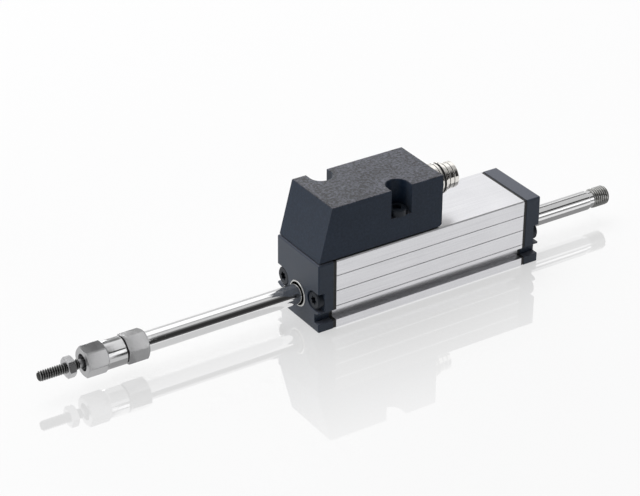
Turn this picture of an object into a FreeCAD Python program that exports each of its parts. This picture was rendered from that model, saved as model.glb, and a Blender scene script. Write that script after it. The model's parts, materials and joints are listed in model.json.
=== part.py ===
import FreeCAD, Part
import math
import os
from collections import namedtuple
from types import SimpleNamespace

import Sketcher

# Linear potentiometer: a square extruded housing between two flanges, a rod that passes
# through both, a ball coupling on the front of the rod and a connector head on top.
# The origin is the middle of the housing's base. +X runs to the rod's rear thread,
# +Y to the far side and +Z up. Lengths are in millimetres, angles in degrees.

SIZES = {
    # housing section
    "housing_width": 22.0,
    "housing_height": 22.0,
    "profile_length": 66.0,
    "edge_bevel": 0.3,
    "clamp_groove_low": 2.8,
    "clamp_groove_mouth": 3.4,
    "clamp_groove_floor": 2.7,
    "clamp_groove_depth": 2.2,
    "line_lowest": 7.4,
    "line_pitch": 4.9,
    "line_width": 0.3,
    "line_depth": 0.1,
    "channel_half_width": 5.4,
    "channel_corner": 1.5,
    "board_side_wall": 1.7,
    "board_ledge": 3.1,
    "roof_depth": 3.4,
    "roof_wall": 1.8,
    # flanges, gaskets and their screws
    "flange_plate": 5.0,
    "gasket_thickness": 1.0,
    "gasket_inset": 0.1,
    "flange_screw_inset": 2.9,
    "flange_screw_height": 9.6,
    "recess_radius": 3.0,
    "recess_depth": 2.0,
    "thread_radius": 1.5,
    "thread_room": 0.02,
    "screw_clearance_radius": 1.65,
    "screw_head_radius": 2.75,
    "flange_screw_head": 1.8,
    "flange_screw_dome": 0.35,
    "flange_screw_grip": 7.0,
    "driver_lobe_radius": 0.36,
    "driver_lobe_circle": 1.0,
    "driver_depth": 1.1,
    "lobe_count": 6,
    # rod and its bearings
    "rod_height": 8.0,
    "rod_radius": 3.0,
    "rod_running_clearance": 0.04,
    "bush_radius": 3.8,
    "bush_collar_radius": 4.0,
    "bush_collar": 0.25,
    "bush_mouth_wall": 0.3,
    "bush_mouth_depth": 0.8,
    "seal_radius": 4.5,
    "seal_pocket": 0.8,
    "seal_lip": 0.6,
    "seal_heel": 0.9,
    "bumper_thickness": 1.5,
    "bumper_inner_radius": 3.5,
    "bumper_side_clearance": 0.2,
    "bumper_rounding": 0.3,
    "stroke": 50.0,
    "stroke_end_clearance": 0.3,
    # carriage and clips on the rod
    "carriage_side_clearance": 0.08,
    "carriage_bevel": 1.7,
    "carriage_top_gap": 2.3,
    "clip_pocket_radius": 4.4,
    "clip_pocket_depth": 1.2,
    "clip_radius": 4.1,
    "clip_thickness": 0.7,
    "clip_groove_radius": 2.6,
    "clip_play": 0.04,
    "clip_opening": 3.6,
    # track board and wipers
    "board_thickness": 1.6,
    "board_play": 0.1,
    "board_end_gap": 0.2,
    "track_thickness": 0.1,
    "track_width": 2.6,
    "track_offset": 2.6,
    "track_end_margin": 1.0,
    "finger_width": 1.6,
    "finger_thickness": 0.15,
    "finger_foot": 4.0,
    "finger_rise": 4.4,
    "finger_tip": 0.6,
    "wiper_gap": 0.05,
    # connector head
    "head_front_low": 0.5,
    "head_front_high": 4.75,
    "head_rear": 42.4,
    "head_side_step": 0.5,
    "head_wall": 1.8,
    "head_bevel": 0.6,
    "head_gasket_thickness": 0.4,
    "head_gasket_inset": 0.4,
    "notch_radius": 3.5,
    "notch_inset": 2.3,
    "notch_wall": 1.5,
    "near_notch": 28.1,
    "far_notch": 12.9,
    "shelf_height": 7.3,
    "cap_head_height": 1.9,
    "cap_screw_grip": 2.8,
    "cap_bevel": 0.3,
    "cap_key_width": 2.5,
    "cap_key_depth": 1.0,
    # wiring
    "wire_radius": 0.45,
    "wire_bend": 5.0,
    "wire_front": 19.0,
    "wire_slot_radius": 3.2,
    "wire_slot_length": 3.8,
    "wire_stagger": 1.25,
    # connector
    "connector_rise": 9.2,
    "connector_thread_radius": 4.0,
    "connector_room": 0.05,
    "connector_tail": 4.6,
    "collar_radius": 4.75,
    "collar_length": 4.9,
    "o_ring_thickness": 0.8,
    "o_ring_groove_radius": 3.8,
    "shoulder_radius": 4.7,
    "shoulder_length": 0.6,
    "barrel_length": 4.4,
    "mouth_radius": 3.15,
    "mouth_depth": 7.0,
    "insert_radius": 2.6,
    "insert_tail": 1.6,
    "pin_radius": 0.5,
    "pin_tail": 2.0,
    "pin_set_back": 1.2,
    "pin_spread": 1.5,
    "pin_drop": 1.5,
    "pin_rise": 0.9,
    "connector_nut_width": 10.0,
    "connector_nut_thickness": 2.2,
    "connector_nut_room": 0.4,
    # ball coupling
    "plain_rod_front": 50.2,
    "lock_nut_length": 6.5,
    "lock_nut_width": 8.0,
    "lock_nut_angle": 44.0,
    "coupling_washer_thickness": 0.5,
    "coupling_washer_radius": 3.7,
    "socket_length": 11.9,
    "socket_hex_length": 6.3,
    "socket_width": 8.0,
    "socket_angle": 27.0,
    "socket_barrel_radius": 4.1,
    "socket_mouth_radius": 2.5,
    "socket_lip_radius": 2.1,
    "hex_chamfer": 0.6,
    "ball_radius": 2.5,
    "ball_room": 0.05,
    "ball_setback": 3.8,
    "rod_end_behind_ball": 4.8,
    "seat_front": 1.1,
    "seat_back": 3.2,
    "seat_room": 0.03,
    "seat_side_clearance": 0.05,
    "spring_count": 4,
    "spring_plate": 0.3,
    "spring_inner_radius": 1.3,
    "neck_radius": 1.3,
    "neck_end": 5.3,
    "stud_length": 17.1,
    "stud_bevel": 0.4,
    "stud_pitch_radius": 1.33,
    "stud_nut_front": 9.1,
    "stud_nut_thickness": 2.4,
    "stud_nut_width": 5.5,
    "stud_nut_angle": 24.0,
    # rear end of the rod
    "plain_rod_rear": 26.7,
    "relief_width": 1.5,
    "relief_radius": 2.65,
    "relief_bevel": 0.3,
    "rear_thread_length": 5.8,
    "rod_bevel": 0.5,
}

doc = FreeCAD.newDocument("linear_potentiometer")


class Size:
    """A length or angle that carries its formula in the sheet and its value now."""

    def __init__(self, formula, value):
        self.formula = formula
        self.value = value

    def __add__(self, other):
        return Size("(%s + %s)" % (self.formula, formula_of(other)), self.value + value_of(other))

    def __radd__(self, other):
        return Size("(%s + %s)" % (formula_of(other), self.formula), value_of(other) + self.value)

    def __sub__(self, other):
        return Size("(%s - %s)" % (self.formula, formula_of(other)), self.value - value_of(other))

    def __rsub__(self, other):
        return Size("(%s - %s)" % (formula_of(other), self.formula), value_of(other) - self.value)

    def __mul__(self, other):
        return Size("(%s * %s)" % (self.formula, formula_of(other)), self.value * value_of(other))

    __rmul__ = __mul__

    def __truediv__(self, other):
        return Size("(%s / %s)" % (self.formula, formula_of(other)), self.value / value_of(other))

    def __neg__(self):
        return Size("(0 - %s)" % self.formula, -self.value)


def formula_of(amount):
    return amount.formula if isinstance(amount, Size) else repr(amount)


def value_of(amount):
    return amount.value if isinstance(amount, Size) else float(amount)


def root(amount):
    return Size("sqrt(%s)" % amount.formula, math.sqrt(amount.value))


def write_sheet():
    sheet = doc.addObject("Spreadsheet::Sheet", "Sizes")
    for row, (alias, number) in enumerate(SIZES.items(), start=1):
        sheet.set("A%d" % row, alias)
        sheet.set("B%d" % row, str(number))
        sheet.setAlias("B%d" % row, alias)
    doc.recompute()
    return SimpleNamespace(**{alias: Size("Sizes." + alias, number) for alias, number in SIZES.items()})


s = write_sheet()

# What an arc needs beyond the point where it ends: its centre, and whether it turns left.
Bend = namedtuple("Bend", "u v centre_u centre_v left")


def bind(thing, path, amount):
    """Set a property from a size, or from a plain number."""
    if isinstance(amount, Size):
        thing.setExpression(path, amount.formula)
    else:
        setattr(thing, path, amount)


def new_body(label):
    body = doc.addObject("PartDesign::Body", label)
    body.Label = label
    return body


def origin_plane(body, role):
    return next(feature for feature in body.Origin.OriginFeatures if feature.Role == role)


def pin_point(drawing, geometry, position, u, v):
    """Fix one point of a sketch at its two coordinates."""
    for kind, amount in (("DistanceX", u), ("DistanceY", v)):
        index = drawing.addConstraint(Sketcher.Constraint(kind, geometry, position, value_of(amount)))
        if isinstance(amount, Size):
            drawing.setExpression("Constraints[%d]" % index, amount.formula)


def draw_arc(drawing, start, bend):
    centre = FreeCAD.Vector(value_of(bend.centre_u), value_of(bend.centre_v), 0)
    begin = FreeCAD.Vector(value_of(start[0]), value_of(start[1]), 0)
    finish = FreeCAD.Vector(value_of(bend.u), value_of(bend.v), 0)
    if not bend.left:
        begin, finish = finish, begin
    circle = Part.Circle(centre, FreeCAD.Vector(0, 0, 1), (begin - centre).Length)
    angles = [math.atan2(point.y - centre.y, point.x - centre.x) for point in (begin, finish)]
    if angles[1] <= angles[0]:
        angles[1] += 2 * math.pi
    geometry = drawing.addGeometry(Part.ArcOfCircle(circle, angles[0], angles[1]))
    # The ends fix the centre to a line, so one coordinate of the centre settles it.
    across = finish - begin
    kind, amount = ("DistanceX", bend.centre_u)
    if abs(across.x) > abs(across.y) * 1.5:
        kind, amount = ("DistanceY", bend.centre_v)
    index = drawing.addConstraint(Sketcher.Constraint(kind, geometry, 3, value_of(amount)))
    if isinstance(amount, Size):
        drawing.setExpression("Constraints[%d]" % index, amount.formula)
    return (geometry, 1, 2) if bend.left else (geometry, 2, 1)


def draw_outline(drawing, outline):
    """Draw a closed outline of straight edges and arcs, every corner fixed by the sheet."""
    edges = []
    for number, corner in enumerate(outline):
        start = outline[number - 1]
        if isinstance(corner, Bend):
            edges.append(draw_arc(drawing, start, corner))
        else:
            ends = [FreeCAD.Vector(value_of(point[0]), value_of(point[1]), 0) for point in (start, corner)]
            edges.append((drawing.addGeometry(Part.LineSegment(*ends)), 1, 2))
    for number, (geometry, _, end) in enumerate(edges):
        following, begin, _ = edges[(number + 1) % len(edges)]
        drawing.addConstraint(Sketcher.Constraint("Coincident", geometry, end, following, begin))
        pin_point(drawing, geometry, end, outline[number][0], outline[number][1])


def draw_circle(drawing, centre, radius):
    middle = FreeCAD.Vector(value_of(centre[0]), value_of(centre[1]), 0)
    geometry = drawing.addGeometry(Part.Circle(middle, FreeCAD.Vector(0, 0, 1), value_of(radius)))
    pin_point(drawing, geometry, 3, centre[0], centre[1])
    index = drawing.addConstraint(Sketcher.Constraint("Radius", geometry, value_of(radius)))
    if isinstance(radius, Size):
        drawing.setExpression("Constraints[%d]" % index, radius.formula)


def sketch(body, name, role, outlines=(), circles=(), lift=0.0):
    """A sketch on one of the body's own planes, lifted along the plane's normal."""
    drawing = body.newObject("Sketcher::SketchObject", name)
    drawing.AttachmentSupport = [(origin_plane(body, role), "")]
    drawing.MapMode = "FlatFace"
    if isinstance(lift, Size):
        drawing.setExpression("AttachmentOffset.Base.z", lift.formula)
    for outline in outlines:
        draw_outline(drawing, outline)
    for centre, radius in circles:
        draw_circle(drawing, centre, radius)
    return drawing


def pad(body, name, drawing, length, reverse=False):
    feature = body.newObject("PartDesign::Pad", name)
    feature.Profile = drawing
    feature.Reversed = reverse
    bind(feature, "Length", length)
    return feature


def pocket(body, name, drawing, depth, reverse=False):
    """Cut against the plane's normal, or along it when reversed, and insist that it cuts."""
    doc.recompute()
    before = body.Tip.Shape.Volume
    feature = body.newObject("PartDesign::Pocket", name)
    feature.Profile = drawing
    feature.Reversed = reverse
    bind(feature, "Length", depth)
    doc.recompute()
    if not feature.Shape.Volume < before:
        raise RuntimeError("%s cuts nothing" % name)
    return feature


def turn_shape(body, name, outline):
    """Revolve an outline of (distance along the axis, radius) points about the body's X axis."""
    drawing = sketch(body, name + "_section", "XZ_Plane", [outline])
    feature = body.newObject("PartDesign::Revolution", name)
    feature.Profile = drawing
    feature.ReferenceAxis = (drawing, ["H_Axis"])
    feature.Angle = 360.0
    return feature


def bevel_face(body, name, size, is_face):
    """Chamfer every edge of the one face that is_face accepts."""
    doc.recompute()
    base = body.Tip
    faces = ["Face%d" % (i + 1) for i, face in enumerate(base.Shape.Faces) if is_face(face)]
    feature = body.newObject("PartDesign::Chamfer", name)
    feature.Base = (base, faces)
    bind(feature, "Size", size)
    return feature


def bevel_edges(body, name, size, is_edge):
    """Chamfer each edge that is_edge accepts."""
    doc.recompute()
    base = body.Tip
    edges = ["Edge%d" % (i + 1) for i, edge in enumerate(base.Shape.Edges) if is_edge(edge)]
    feature = body.newObject("PartDesign::Chamfer", name)
    feature.Base = (base, edges)
    bind(feature, "Size", size)
    return feature


def put(thing, x=0.0, y=0.0, z=0.0, axis=(0, 0, 1), angle=0.0):
    """Place a piece, turned by an angle about an axis through its own origin."""
    place = FreeCAD.Vector(value_of(x), value_of(y), value_of(z))
    thing.Placement = FreeCAD.Placement(place, FreeCAD.Rotation(FreeCAD.Vector(*axis), value_of(angle)))
    for path, amount in (("x", x), ("y", y), ("z", z)):
        if isinstance(amount, Size):
            thing.setExpression("Placement.Base." + path, amount.formula)
    if isinstance(angle, Size):
        thing.setExpression("Placement.Rotation.Angle", angle.formula)
    return thing


def turned(label, outline, x=0.0, y=0.0, z=0.0, axis=(0, 0, 1), angle=0.0):
    body = new_body(label)
    turn_shape(body, label + "_turned", outline)
    return put(body, x, y, z, axis, angle)


def group(label, pieces):
    """Several separate solids of one kind as one node."""
    compound = doc.addObject("Part::Compound", label)
    compound.Label = label
    compound.Links = pieces
    return compound


def ring(x_from, x_to, inner, outer):
    return [(x_from, inner), (x_to, inner), (x_to, outer), (x_from, outer)]


def hexagon(width):
    """Corners of a hexagon with two flats square to the first axis."""
    corner = width / math.sqrt(3)
    half = width / 2
    return [(half, -corner / 2), (half, corner / 2), (0.0, corner),
            (-half, corner / 2), (-half, -corner / 2), (0.0, -corner)]


def mill_hexagon(body, name, width, x_from, length, stock):
    """Mill the six flats off a turned blank."""
    drawing = sketch(body, name + "_outline", "YZ_Plane", [hexagon(width)],
                     [((0.0, 0.0), stock)], lift=x_from)
    return pocket(body, name, drawing, length, reverse=True)


# Positions that several pieces share, along the housing and in its section.
half_profile = s.profile_length / 2
flange_total = s.flange_plate + s.gasket_thickness
half_housing = half_profile + flange_total
half_width = s.housing_width / 2
bush_end = s.flange_plate - s.seal_pocket
flange_screw_offset = half_width - s.flange_screw_inset
slot_top = s.housing_height - s.roof_depth
board_bottom = slot_top - s.board_play - s.board_thickness
board_slot_side = half_width - s.board_side_wall
head_side = half_width - s.head_side_step
channel_floor = s.rod_height - s.channel_half_width
head_screw_offset = head_side - s.notch_inset


def mirror_outline(right_side):
    """Close an outline that is given from bottom to top on its right side only."""
    left_side = []
    for number in range(len(right_side) - 1, -1, -1):
        corner = right_side[number]
        following = right_side[number + 1] if number + 1 < len(right_side) else None
        if isinstance(following, Bend):
            left_side.append(Bend(-corner[0], corner[1], -following.centre_u, following.centre_v,
                                  following.left))
        else:
            left_side.append((-corner[0], corner[1]))
    return right_side + left_side


def housing_section(inset=0.0, line_heights=()):
    """The outline of the extrusion, which the flanges and gaskets repeat without the lines."""
    side = half_width - inset
    top = s.housing_height - inset
    floor = side - s.clamp_groove_depth
    low = s.clamp_groove_low
    right = [(side - s.edge_bevel, inset), (side, inset + s.edge_bevel), (side, low),
             (floor, low), (floor, low + s.clamp_groove_floor), (side, low + s.clamp_groove_mouth)]
    for height in line_heights:
        right += [(side, height - s.line_width / 2), (side - s.line_depth, height),
                  (side, height + s.line_width / 2)]
    right += [(side, top - s.edge_bevel), (side - s.edge_bevel, top)]
    return mirror_outline(right)


def clamp_groove(side):
    """The groove along the foot of the housing that the mounting clamps grip."""
    outer = half_width * side
    inner = (half_width - s.clamp_groove_depth) * side
    low = s.clamp_groove_low
    return [(outer, low), (inner, low), (inner, low + s.clamp_groove_floor),
            (outer, low + s.clamp_groove_mouth)]


def screw_places(offset, height):
    return [(offset, height), (-offset, height)]


def build_profile():
    body = new_body("housing_profile")
    lines = [s.line_lowest + s.line_pitch * number for number in range(3)]
    outline = sketch(body, "profile_section", "YZ_Plane", [housing_section(line_heights=lines)])
    pad(body, "profile_length", outline, s.profile_length)
    corner = s.channel_corner
    wall = s.channel_half_width
    turn = channel_floor + corner
    right = [(wall - corner, channel_floor), Bend(wall, turn, wall - corner, turn, True),
             (wall, board_bottom), (board_slot_side, board_bottom), (board_slot_side, slot_top),
             (board_slot_side - s.board_ledge, slot_top),
             (board_slot_side - s.board_ledge, s.housing_height - s.roof_wall)]
    inside = sketch(body, "channel_section", "YZ_Plane", [mirror_outline(right)])
    pocket(body, "channel", inside, s.profile_length, reverse=True)
    threads = [(place, s.thread_radius + s.thread_room)
               for place in screw_places(flange_screw_offset, s.flange_screw_height)]
    holes = sketch(body, "screw_channel_section", "YZ_Plane", (), threads)
    pocket(body, "screw_channels", holes, s.profile_length, reverse=True)
    to_middle = half_profile - half_housing
    taps = sketch(body, "head_screw_places", "XY_Plane", (),
                  [((s.near_notch + to_middle, -head_screw_offset), s.thread_radius + s.thread_room),
                   ((s.far_notch + to_middle, head_screw_offset), s.thread_radius + s.thread_room)],
                  lift=s.housing_height)
    pocket(body, "head_screw_taps", taps, s.roof_depth)
    passage = sketch(body, "wire_passage_outline", "XY_Plane", [wire_slot(to_middle)], lift=s.housing_height)
    pocket(body, "wire_passage", passage, s.roof_wall)
    return put(body, x=-half_profile)


def wire_slot(shift):
    """A round-ended slot for the leads, through the roof of the profile and the head's gasket."""
    front = s.wire_front + shift
    rear = front + s.wire_slot_length
    radius = s.wire_slot_radius
    return [(rear, -radius), Bend(rear, radius, rear, 0.0, True),
            (front, radius), Bend(front, -radius, front, 0.0, True)]


def screw_recess(side):
    """A U open to the flange's side, so that the screw's head shows from beside."""
    inner = flange_screw_offset * side
    outer = (half_width + s.recess_radius) * side
    height = s.flange_screw_height
    radius = s.recess_radius
    left = side > 0
    return [(outer, height + radius), (inner, height + radius),
            Bend(inner, height - radius, inner, height, left), (outer, height - radius)]


def build_flange(label, x, angle):
    body = new_body(label)
    square = mirror_outline([(half_width, 0.0), (half_width, s.housing_height)])
    outline = sketch(body, label + "_section", "YZ_Plane", [square])
    pad(body, label + "_plate", outline, s.flange_plate)
    inner_face = value_of(s.flange_plate) - 1e-6
    bevel_edges(body, label + "_bevel", s.edge_bevel, lambda edge: edge.BoundBox.XMin < inner_face)
    grooves = sketch(body, label + "_groove_outline", "YZ_Plane", [clamp_groove(1), clamp_groove(-1)])
    pocket(body, label + "_grooves", grooves, s.flange_plate, reverse=True)
    holes = [((0.0, s.rod_height), s.bush_radius)]
    holes += [(place, s.screw_clearance_radius)
              for place in screw_places(flange_screw_offset, s.flange_screw_height)]
    through = sketch(body, label + "_hole_places", "YZ_Plane", (), holes)
    pocket(body, label + "_holes", through, s.flange_plate, reverse=True)
    recesses = sketch(body, label + "_recess_outline", "YZ_Plane", [screw_recess(1), screw_recess(-1)])
    pocket(body, label + "_recesses", recesses, s.recess_depth, reverse=True)
    seat = sketch(body, label + "_seal_place", "YZ_Plane", (),
                  [((0.0, s.rod_height), s.seal_radius)], lift=s.flange_plate)
    pocket(body, label + "_seal_seat", seat, s.seal_pocket)
    return put(body, x=x, angle=angle)


def build_gasket(label, x, angle):
    body = new_body(label)
    holes = [((0.0, s.rod_height), s.seal_radius)]
    holes += [(place, s.screw_clearance_radius)
              for place in screw_places(flange_screw_offset, s.flange_screw_height)]
    outline = sketch(body, label + "_section", "YZ_Plane", [housing_section(s.gasket_inset)],
                     holes, lift=s.flange_plate)
    pad(body, label + "_sheet", outline, s.gasket_thickness)
    return put(body, x=x, angle=angle)


def build_bush(label, x, angle):
    """A collared sleeve whose wide mouth keeps dirt on the rod away from the bore."""
    bore = s.rod_radius + s.rod_running_clearance
    mouth = s.bush_radius - s.bush_mouth_wall
    outline = [(-s.bush_collar, mouth), (-s.bush_collar, s.bush_collar_radius - s.bush_collar / 2),
               (-s.bush_collar / 2, s.bush_collar_radius), (0.0, s.bush_collar_radius),
               (0.0, s.bush_radius), (bush_end, s.bush_radius), (bush_end, bore),
               (s.bush_mouth_depth, bore), (s.bush_mouth_depth, mouth)]
    return turned(label, outline, x=x, z=s.rod_height, angle=angle)


def build_seal(label, x, angle):
    """A rubber ring with one lip on the rod."""
    touch = s.rod_radius + s.rod_running_clearance
    heel = touch + s.seal_heel - s.seal_lip / 2
    outline = [(bush_end, s.seal_radius), (bush_end, heel), (flange_total - s.seal_heel, heel),
               (flange_total - s.seal_lip, touch), (flange_total - s.seal_lip / 2, touch),
               (flange_total, heel), (flange_total, s.seal_radius)]
    return turned(label, outline, x=x, z=s.rod_height, angle=angle)


def build_bumper(label, x, angle):
    outer = s.channel_half_width - s.bumper_side_clearance
    rounding = s.bumper_rounding
    end = flange_total + s.bumper_thickness
    outline = [(flange_total, s.bumper_inner_radius), (end - rounding, s.bumper_inner_radius),
               (end, s.bumper_inner_radius + rounding), (end, outer - rounding),
               (end - rounding, outer), (flange_total, outer)]
    return turned(label, outline, x=x, z=s.rod_height, angle=angle)


def build_flange_screws(label, x, angle):
    """Two pan-head screws with six-lobed drives, the second the mirror image of the first."""
    body = new_body(label + "_one")
    start = s.recess_depth
    top = start - s.flange_screw_head
    dome = s.flange_screw_dome
    tip = flange_total + s.flange_screw_grip
    outline = [(top, 0.0), (tip, 0.0), (tip, s.thread_radius - dome), (tip - dome, s.thread_radius),
               (start, s.thread_radius), (start, s.screw_head_radius),
               (top + dome, s.screw_head_radius), (top, s.screw_head_radius - dome)]
    turn_shape(body, label + "_blank", outline)
    core = sketch(body, label + "_drive_core", "YZ_Plane", (), [((0.0, 0.0), s.driver_lobe_circle)],
                  lift=top)
    pocket(body, label + "_drive", core, s.driver_depth, reverse=True)
    lobe = sketch(body, label + "_drive_lobe", "YZ_Plane", (),
                  [((s.driver_lobe_circle, 0.0), s.driver_lobe_radius)], lift=top)
    cut = pocket(body, label + "_lobe", lobe, s.driver_depth, reverse=True)
    pattern = body.newObject("PartDesign::PolarPattern", label + "_lobes")
    pattern.Originals = [cut]
    pattern.Axis = (core, ["N_Axis"])
    pattern.Angle = 360.0
    pattern.setExpression("Occurrences", s.lobe_count.formula)
    body.Tip = pattern
    put(body, y=-flange_screw_offset, z=s.flange_screw_height)
    image = doc.addObject("Part::Mirroring", label + "_other")
    image.Source = body
    image.Normal = (0, 1, 0)
    return put(group(label, [body, image]), x=x, angle=angle)


def build_end(name, x, angle):
    """All that closes one end of the housing. Both ends are alike, turned half round."""
    return [build_flange(name + "_flange", x, angle), build_gasket(name + "_gasket", x, angle),
            build_bush(name + "_bush", x, angle), build_seal(name + "_rod_seal", x, angle),
            build_bumper(name + "_bumper", x, angle),
            build_flange_screws(name + "_flange_screws", x, angle)]


# Heights and places of the connector head, and the axis of the connector.
head_base = s.housing_height + s.head_gasket_thickness
connector_height = head_base + s.connector_rise
head_roof = connector_height + s.connector_nut_width / 2 + s.connector_nut_room
head_top = head_roof + s.head_wall
head_back = s.head_rear - half_housing
head_rows = [(s.near_notch - half_housing, -1), (s.far_notch - half_housing, 1)]


def notch(x, side, radius, reach):
    """A U that is open to one side of the head."""
    inner = head_screw_offset * side
    outer = reach * side
    left = side < 0
    return [(x - radius, outer), (x - radius, inner), Bend(x + radius, inner, x, inner, not left),
            (x + radius, outer)]


def build_head():
    body = new_body("connector_head")
    bevel = s.head_bevel
    side = [(s.head_front_low - half_housing, head_base), (head_back - bevel, head_base),
            (head_back, head_base + bevel), (head_back, head_top),
            (s.head_front_high - half_housing, head_top)]
    outline = sketch(body, "head_side", "XZ_Plane", [side], lift=-head_side)
    pad(body, "head_block", outline, head_side * 2)
    inner_front = s.head_front_high - half_housing + s.head_wall
    inner_back = head_back - s.head_wall
    inner_side = head_side - s.head_wall
    hollow = [(inner_front, -inner_side), (inner_back, -inner_side),
              (inner_back, inner_side), (inner_front, inner_side)]
    room = head_roof - head_base
    cavity = sketch(body, "head_cavity_outline", "XY_Plane", [hollow], lift=head_base)
    pocket(body, "head_cavity", cavity, room, reverse=True)
    towers = [notch(x, way, s.notch_radius + s.notch_wall, head_side - s.head_wall / 2)
              for x, way in head_rows]
    pad(body, "head_towers", sketch(body, "head_tower_outline", "XY_Plane", towers, lift=head_base), room)
    openings = [notch(x, way, s.notch_radius, head_side + s.notch_radius)
                for x, way in head_rows]
    above = sketch(body, "head_notch_outline", "XY_Plane", openings, lift=head_top)
    pocket(body, "head_notches", above, head_top - head_base - s.shelf_height)
    drills = [((x, head_screw_offset * way), s.screw_clearance_radius) for x, way in head_rows]
    below = sketch(body, "head_drill_places", "XY_Plane", (), drills, lift=head_base)
    pocket(body, "head_drills", below, s.shelf_height, reverse=True)
    rear = sketch(body, "connector_hole_place", "YZ_Plane", (),
                  [((0.0, connector_height), s.connector_thread_radius + s.connector_room)],
                  lift=head_back)
    pocket(body, "connector_hole", rear, s.head_wall)
    top = value_of(head_top)
    bevel_face(body, "head_edge_bevel", s.edge_bevel / 2,
               lambda face: face.BoundBox.ZMin > top - 1e-6)
    return put(body)


def build_head_gasket():
    body = new_body("head_gasket")
    inset = s.head_gasket_inset
    side = head_side - inset
    front = s.head_front_low - half_housing + inset
    rear = head_back - s.head_bevel - inset
    sheet = [(front, -side), (rear, -side), (rear, side), (front, side)]
    drills = [((x, head_screw_offset * way), s.screw_clearance_radius) for x, way in head_rows]
    outline = sketch(body, "head_gasket_outline", "XY_Plane", [sheet, wire_slot(-half_housing)],
                     drills, lift=s.housing_height)
    pad(body, "head_gasket_sheet", outline, s.head_gasket_thickness)
    return put(body)


def build_head_screws():
    """Cap screws with hexagon sockets, head up on the shelf of each notch."""
    pieces = []
    bevel = s.cap_bevel
    length = s.shelf_height + s.head_gasket_thickness + s.cap_screw_grip
    for number, (x, way) in enumerate(head_rows):
        body = new_body("head_screw_%d" % (number + 1))
        outline = [(s.cap_head_height, 0.0), (-length, 0.0), (-length, s.thread_radius - bevel),
                   (bevel - length, s.thread_radius), (0.0, s.thread_radius),
                   (0.0, s.screw_head_radius), (s.cap_head_height - bevel, s.screw_head_radius),
                   (s.cap_head_height, s.screw_head_radius - bevel)]
        turn_shape(body, "head_screw_blank_%d" % (number + 1), outline)
        socket = sketch(body, "head_screw_key_%d" % (number + 1), "YZ_Plane",
                        [hexagon(s.cap_key_width)], lift=s.cap_head_height)
        pocket(body, "head_screw_socket_%d" % (number + 1), socket, s.cap_key_depth)
        pieces.append(put(body, x=x, y=head_screw_offset * way, z=head_base + s.shelf_height,
                          axis=(0, 1, 0), angle=-90.0))
    return group("head_screws", pieces)


# Stations along the connector, counted from the head's rear face.
groove_start = s.collar_length
groove_end = groove_start + s.o_ring_thickness
shoulder_end = groove_end + s.shoulder_length
barrel_end = shoulder_end + s.barrel_length
mouth_floor = barrel_end - s.mouth_depth
pin_rows = [(-s.pin_spread, s.pin_rise), (s.pin_spread, s.pin_rise), (0.0, -s.pin_drop)]


def build_connector():
    thread = s.connector_thread_radius
    bevel = s.edge_bevel
    outline = [(-s.connector_tail, s.insert_radius), (-s.connector_tail, thread), (0.0, thread),
               (0.0, s.collar_radius - bevel), (bevel, s.collar_radius),
               (groove_start - bevel, s.collar_radius), (groove_start, s.collar_radius - bevel),
               (groove_start, s.o_ring_groove_radius), (groove_end, s.o_ring_groove_radius),
               (groove_end, s.shoulder_radius), (shoulder_end, s.shoulder_radius),
               (shoulder_end, thread), (barrel_end - bevel, thread), (barrel_end, thread - bevel),
               (barrel_end, s.mouth_radius + bevel), (barrel_end - bevel, s.mouth_radius),
               (mouth_floor, s.mouth_radius), (mouth_floor, s.insert_radius)]
    axis = {"x": head_back, "z": connector_height}
    shell = turned("connector_shell", outline, **axis)
    o_ring_radius = s.o_ring_thickness / 2
    body = new_body("connector_o_ring")
    middle = (groove_start + o_ring_radius, s.o_ring_groove_radius + o_ring_radius)
    section = sketch(body, "o_ring_section", "XZ_Plane", (), [(middle, o_ring_radius)])
    feature = body.newObject("PartDesign::Revolution", "o_ring_turned")
    feature.Profile = section
    feature.ReferenceAxis = (section, ["H_Axis"])
    feature.Angle = 360.0
    o_ring = put(body, **axis)
    nut_front = -s.head_wall - s.connector_nut_thickness
    nut = new_body("connector_nut")
    profile = sketch(nut, "connector_nut_outline", "YZ_Plane", [hexagon(s.connector_nut_width)],
                     [((0.0, 0.0), thread + s.thread_room)], lift=nut_front)
    pad(nut, "connector_nut_blank", profile, s.connector_nut_thickness)
    put(nut, axis=(1, 0, 0), angle=90.0, **axis)
    insert = new_body("connector_insert")
    tail = -s.connector_tail - s.insert_tail
    holes = [(place, s.pin_radius) for place in pin_rows]
    disc = sketch(insert, "insert_outline", "YZ_Plane", (), [((0.0, 0.0), s.insert_radius)] + holes,
                  lift=tail)
    pad(insert, "insert_plug", disc, mouth_floor - tail)
    put(insert, **axis)
    tip = barrel_end - s.pin_set_back
    point = s.pin_radius / 2
    pin = [(tail - s.pin_tail, 0.0), (tip, 0.0), (tip, s.pin_radius - point),
           (tip - point, s.pin_radius), (tail - s.pin_tail, s.pin_radius)]
    pins = [turned("connector_pin_%d" % (number + 1), pin, x=head_back, y=y, z=connector_height + z)
            for number, (y, z) in enumerate(pin_rows)]
    return [shell, o_ring, nut, insert, group("connector_pins", pins)]


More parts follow.
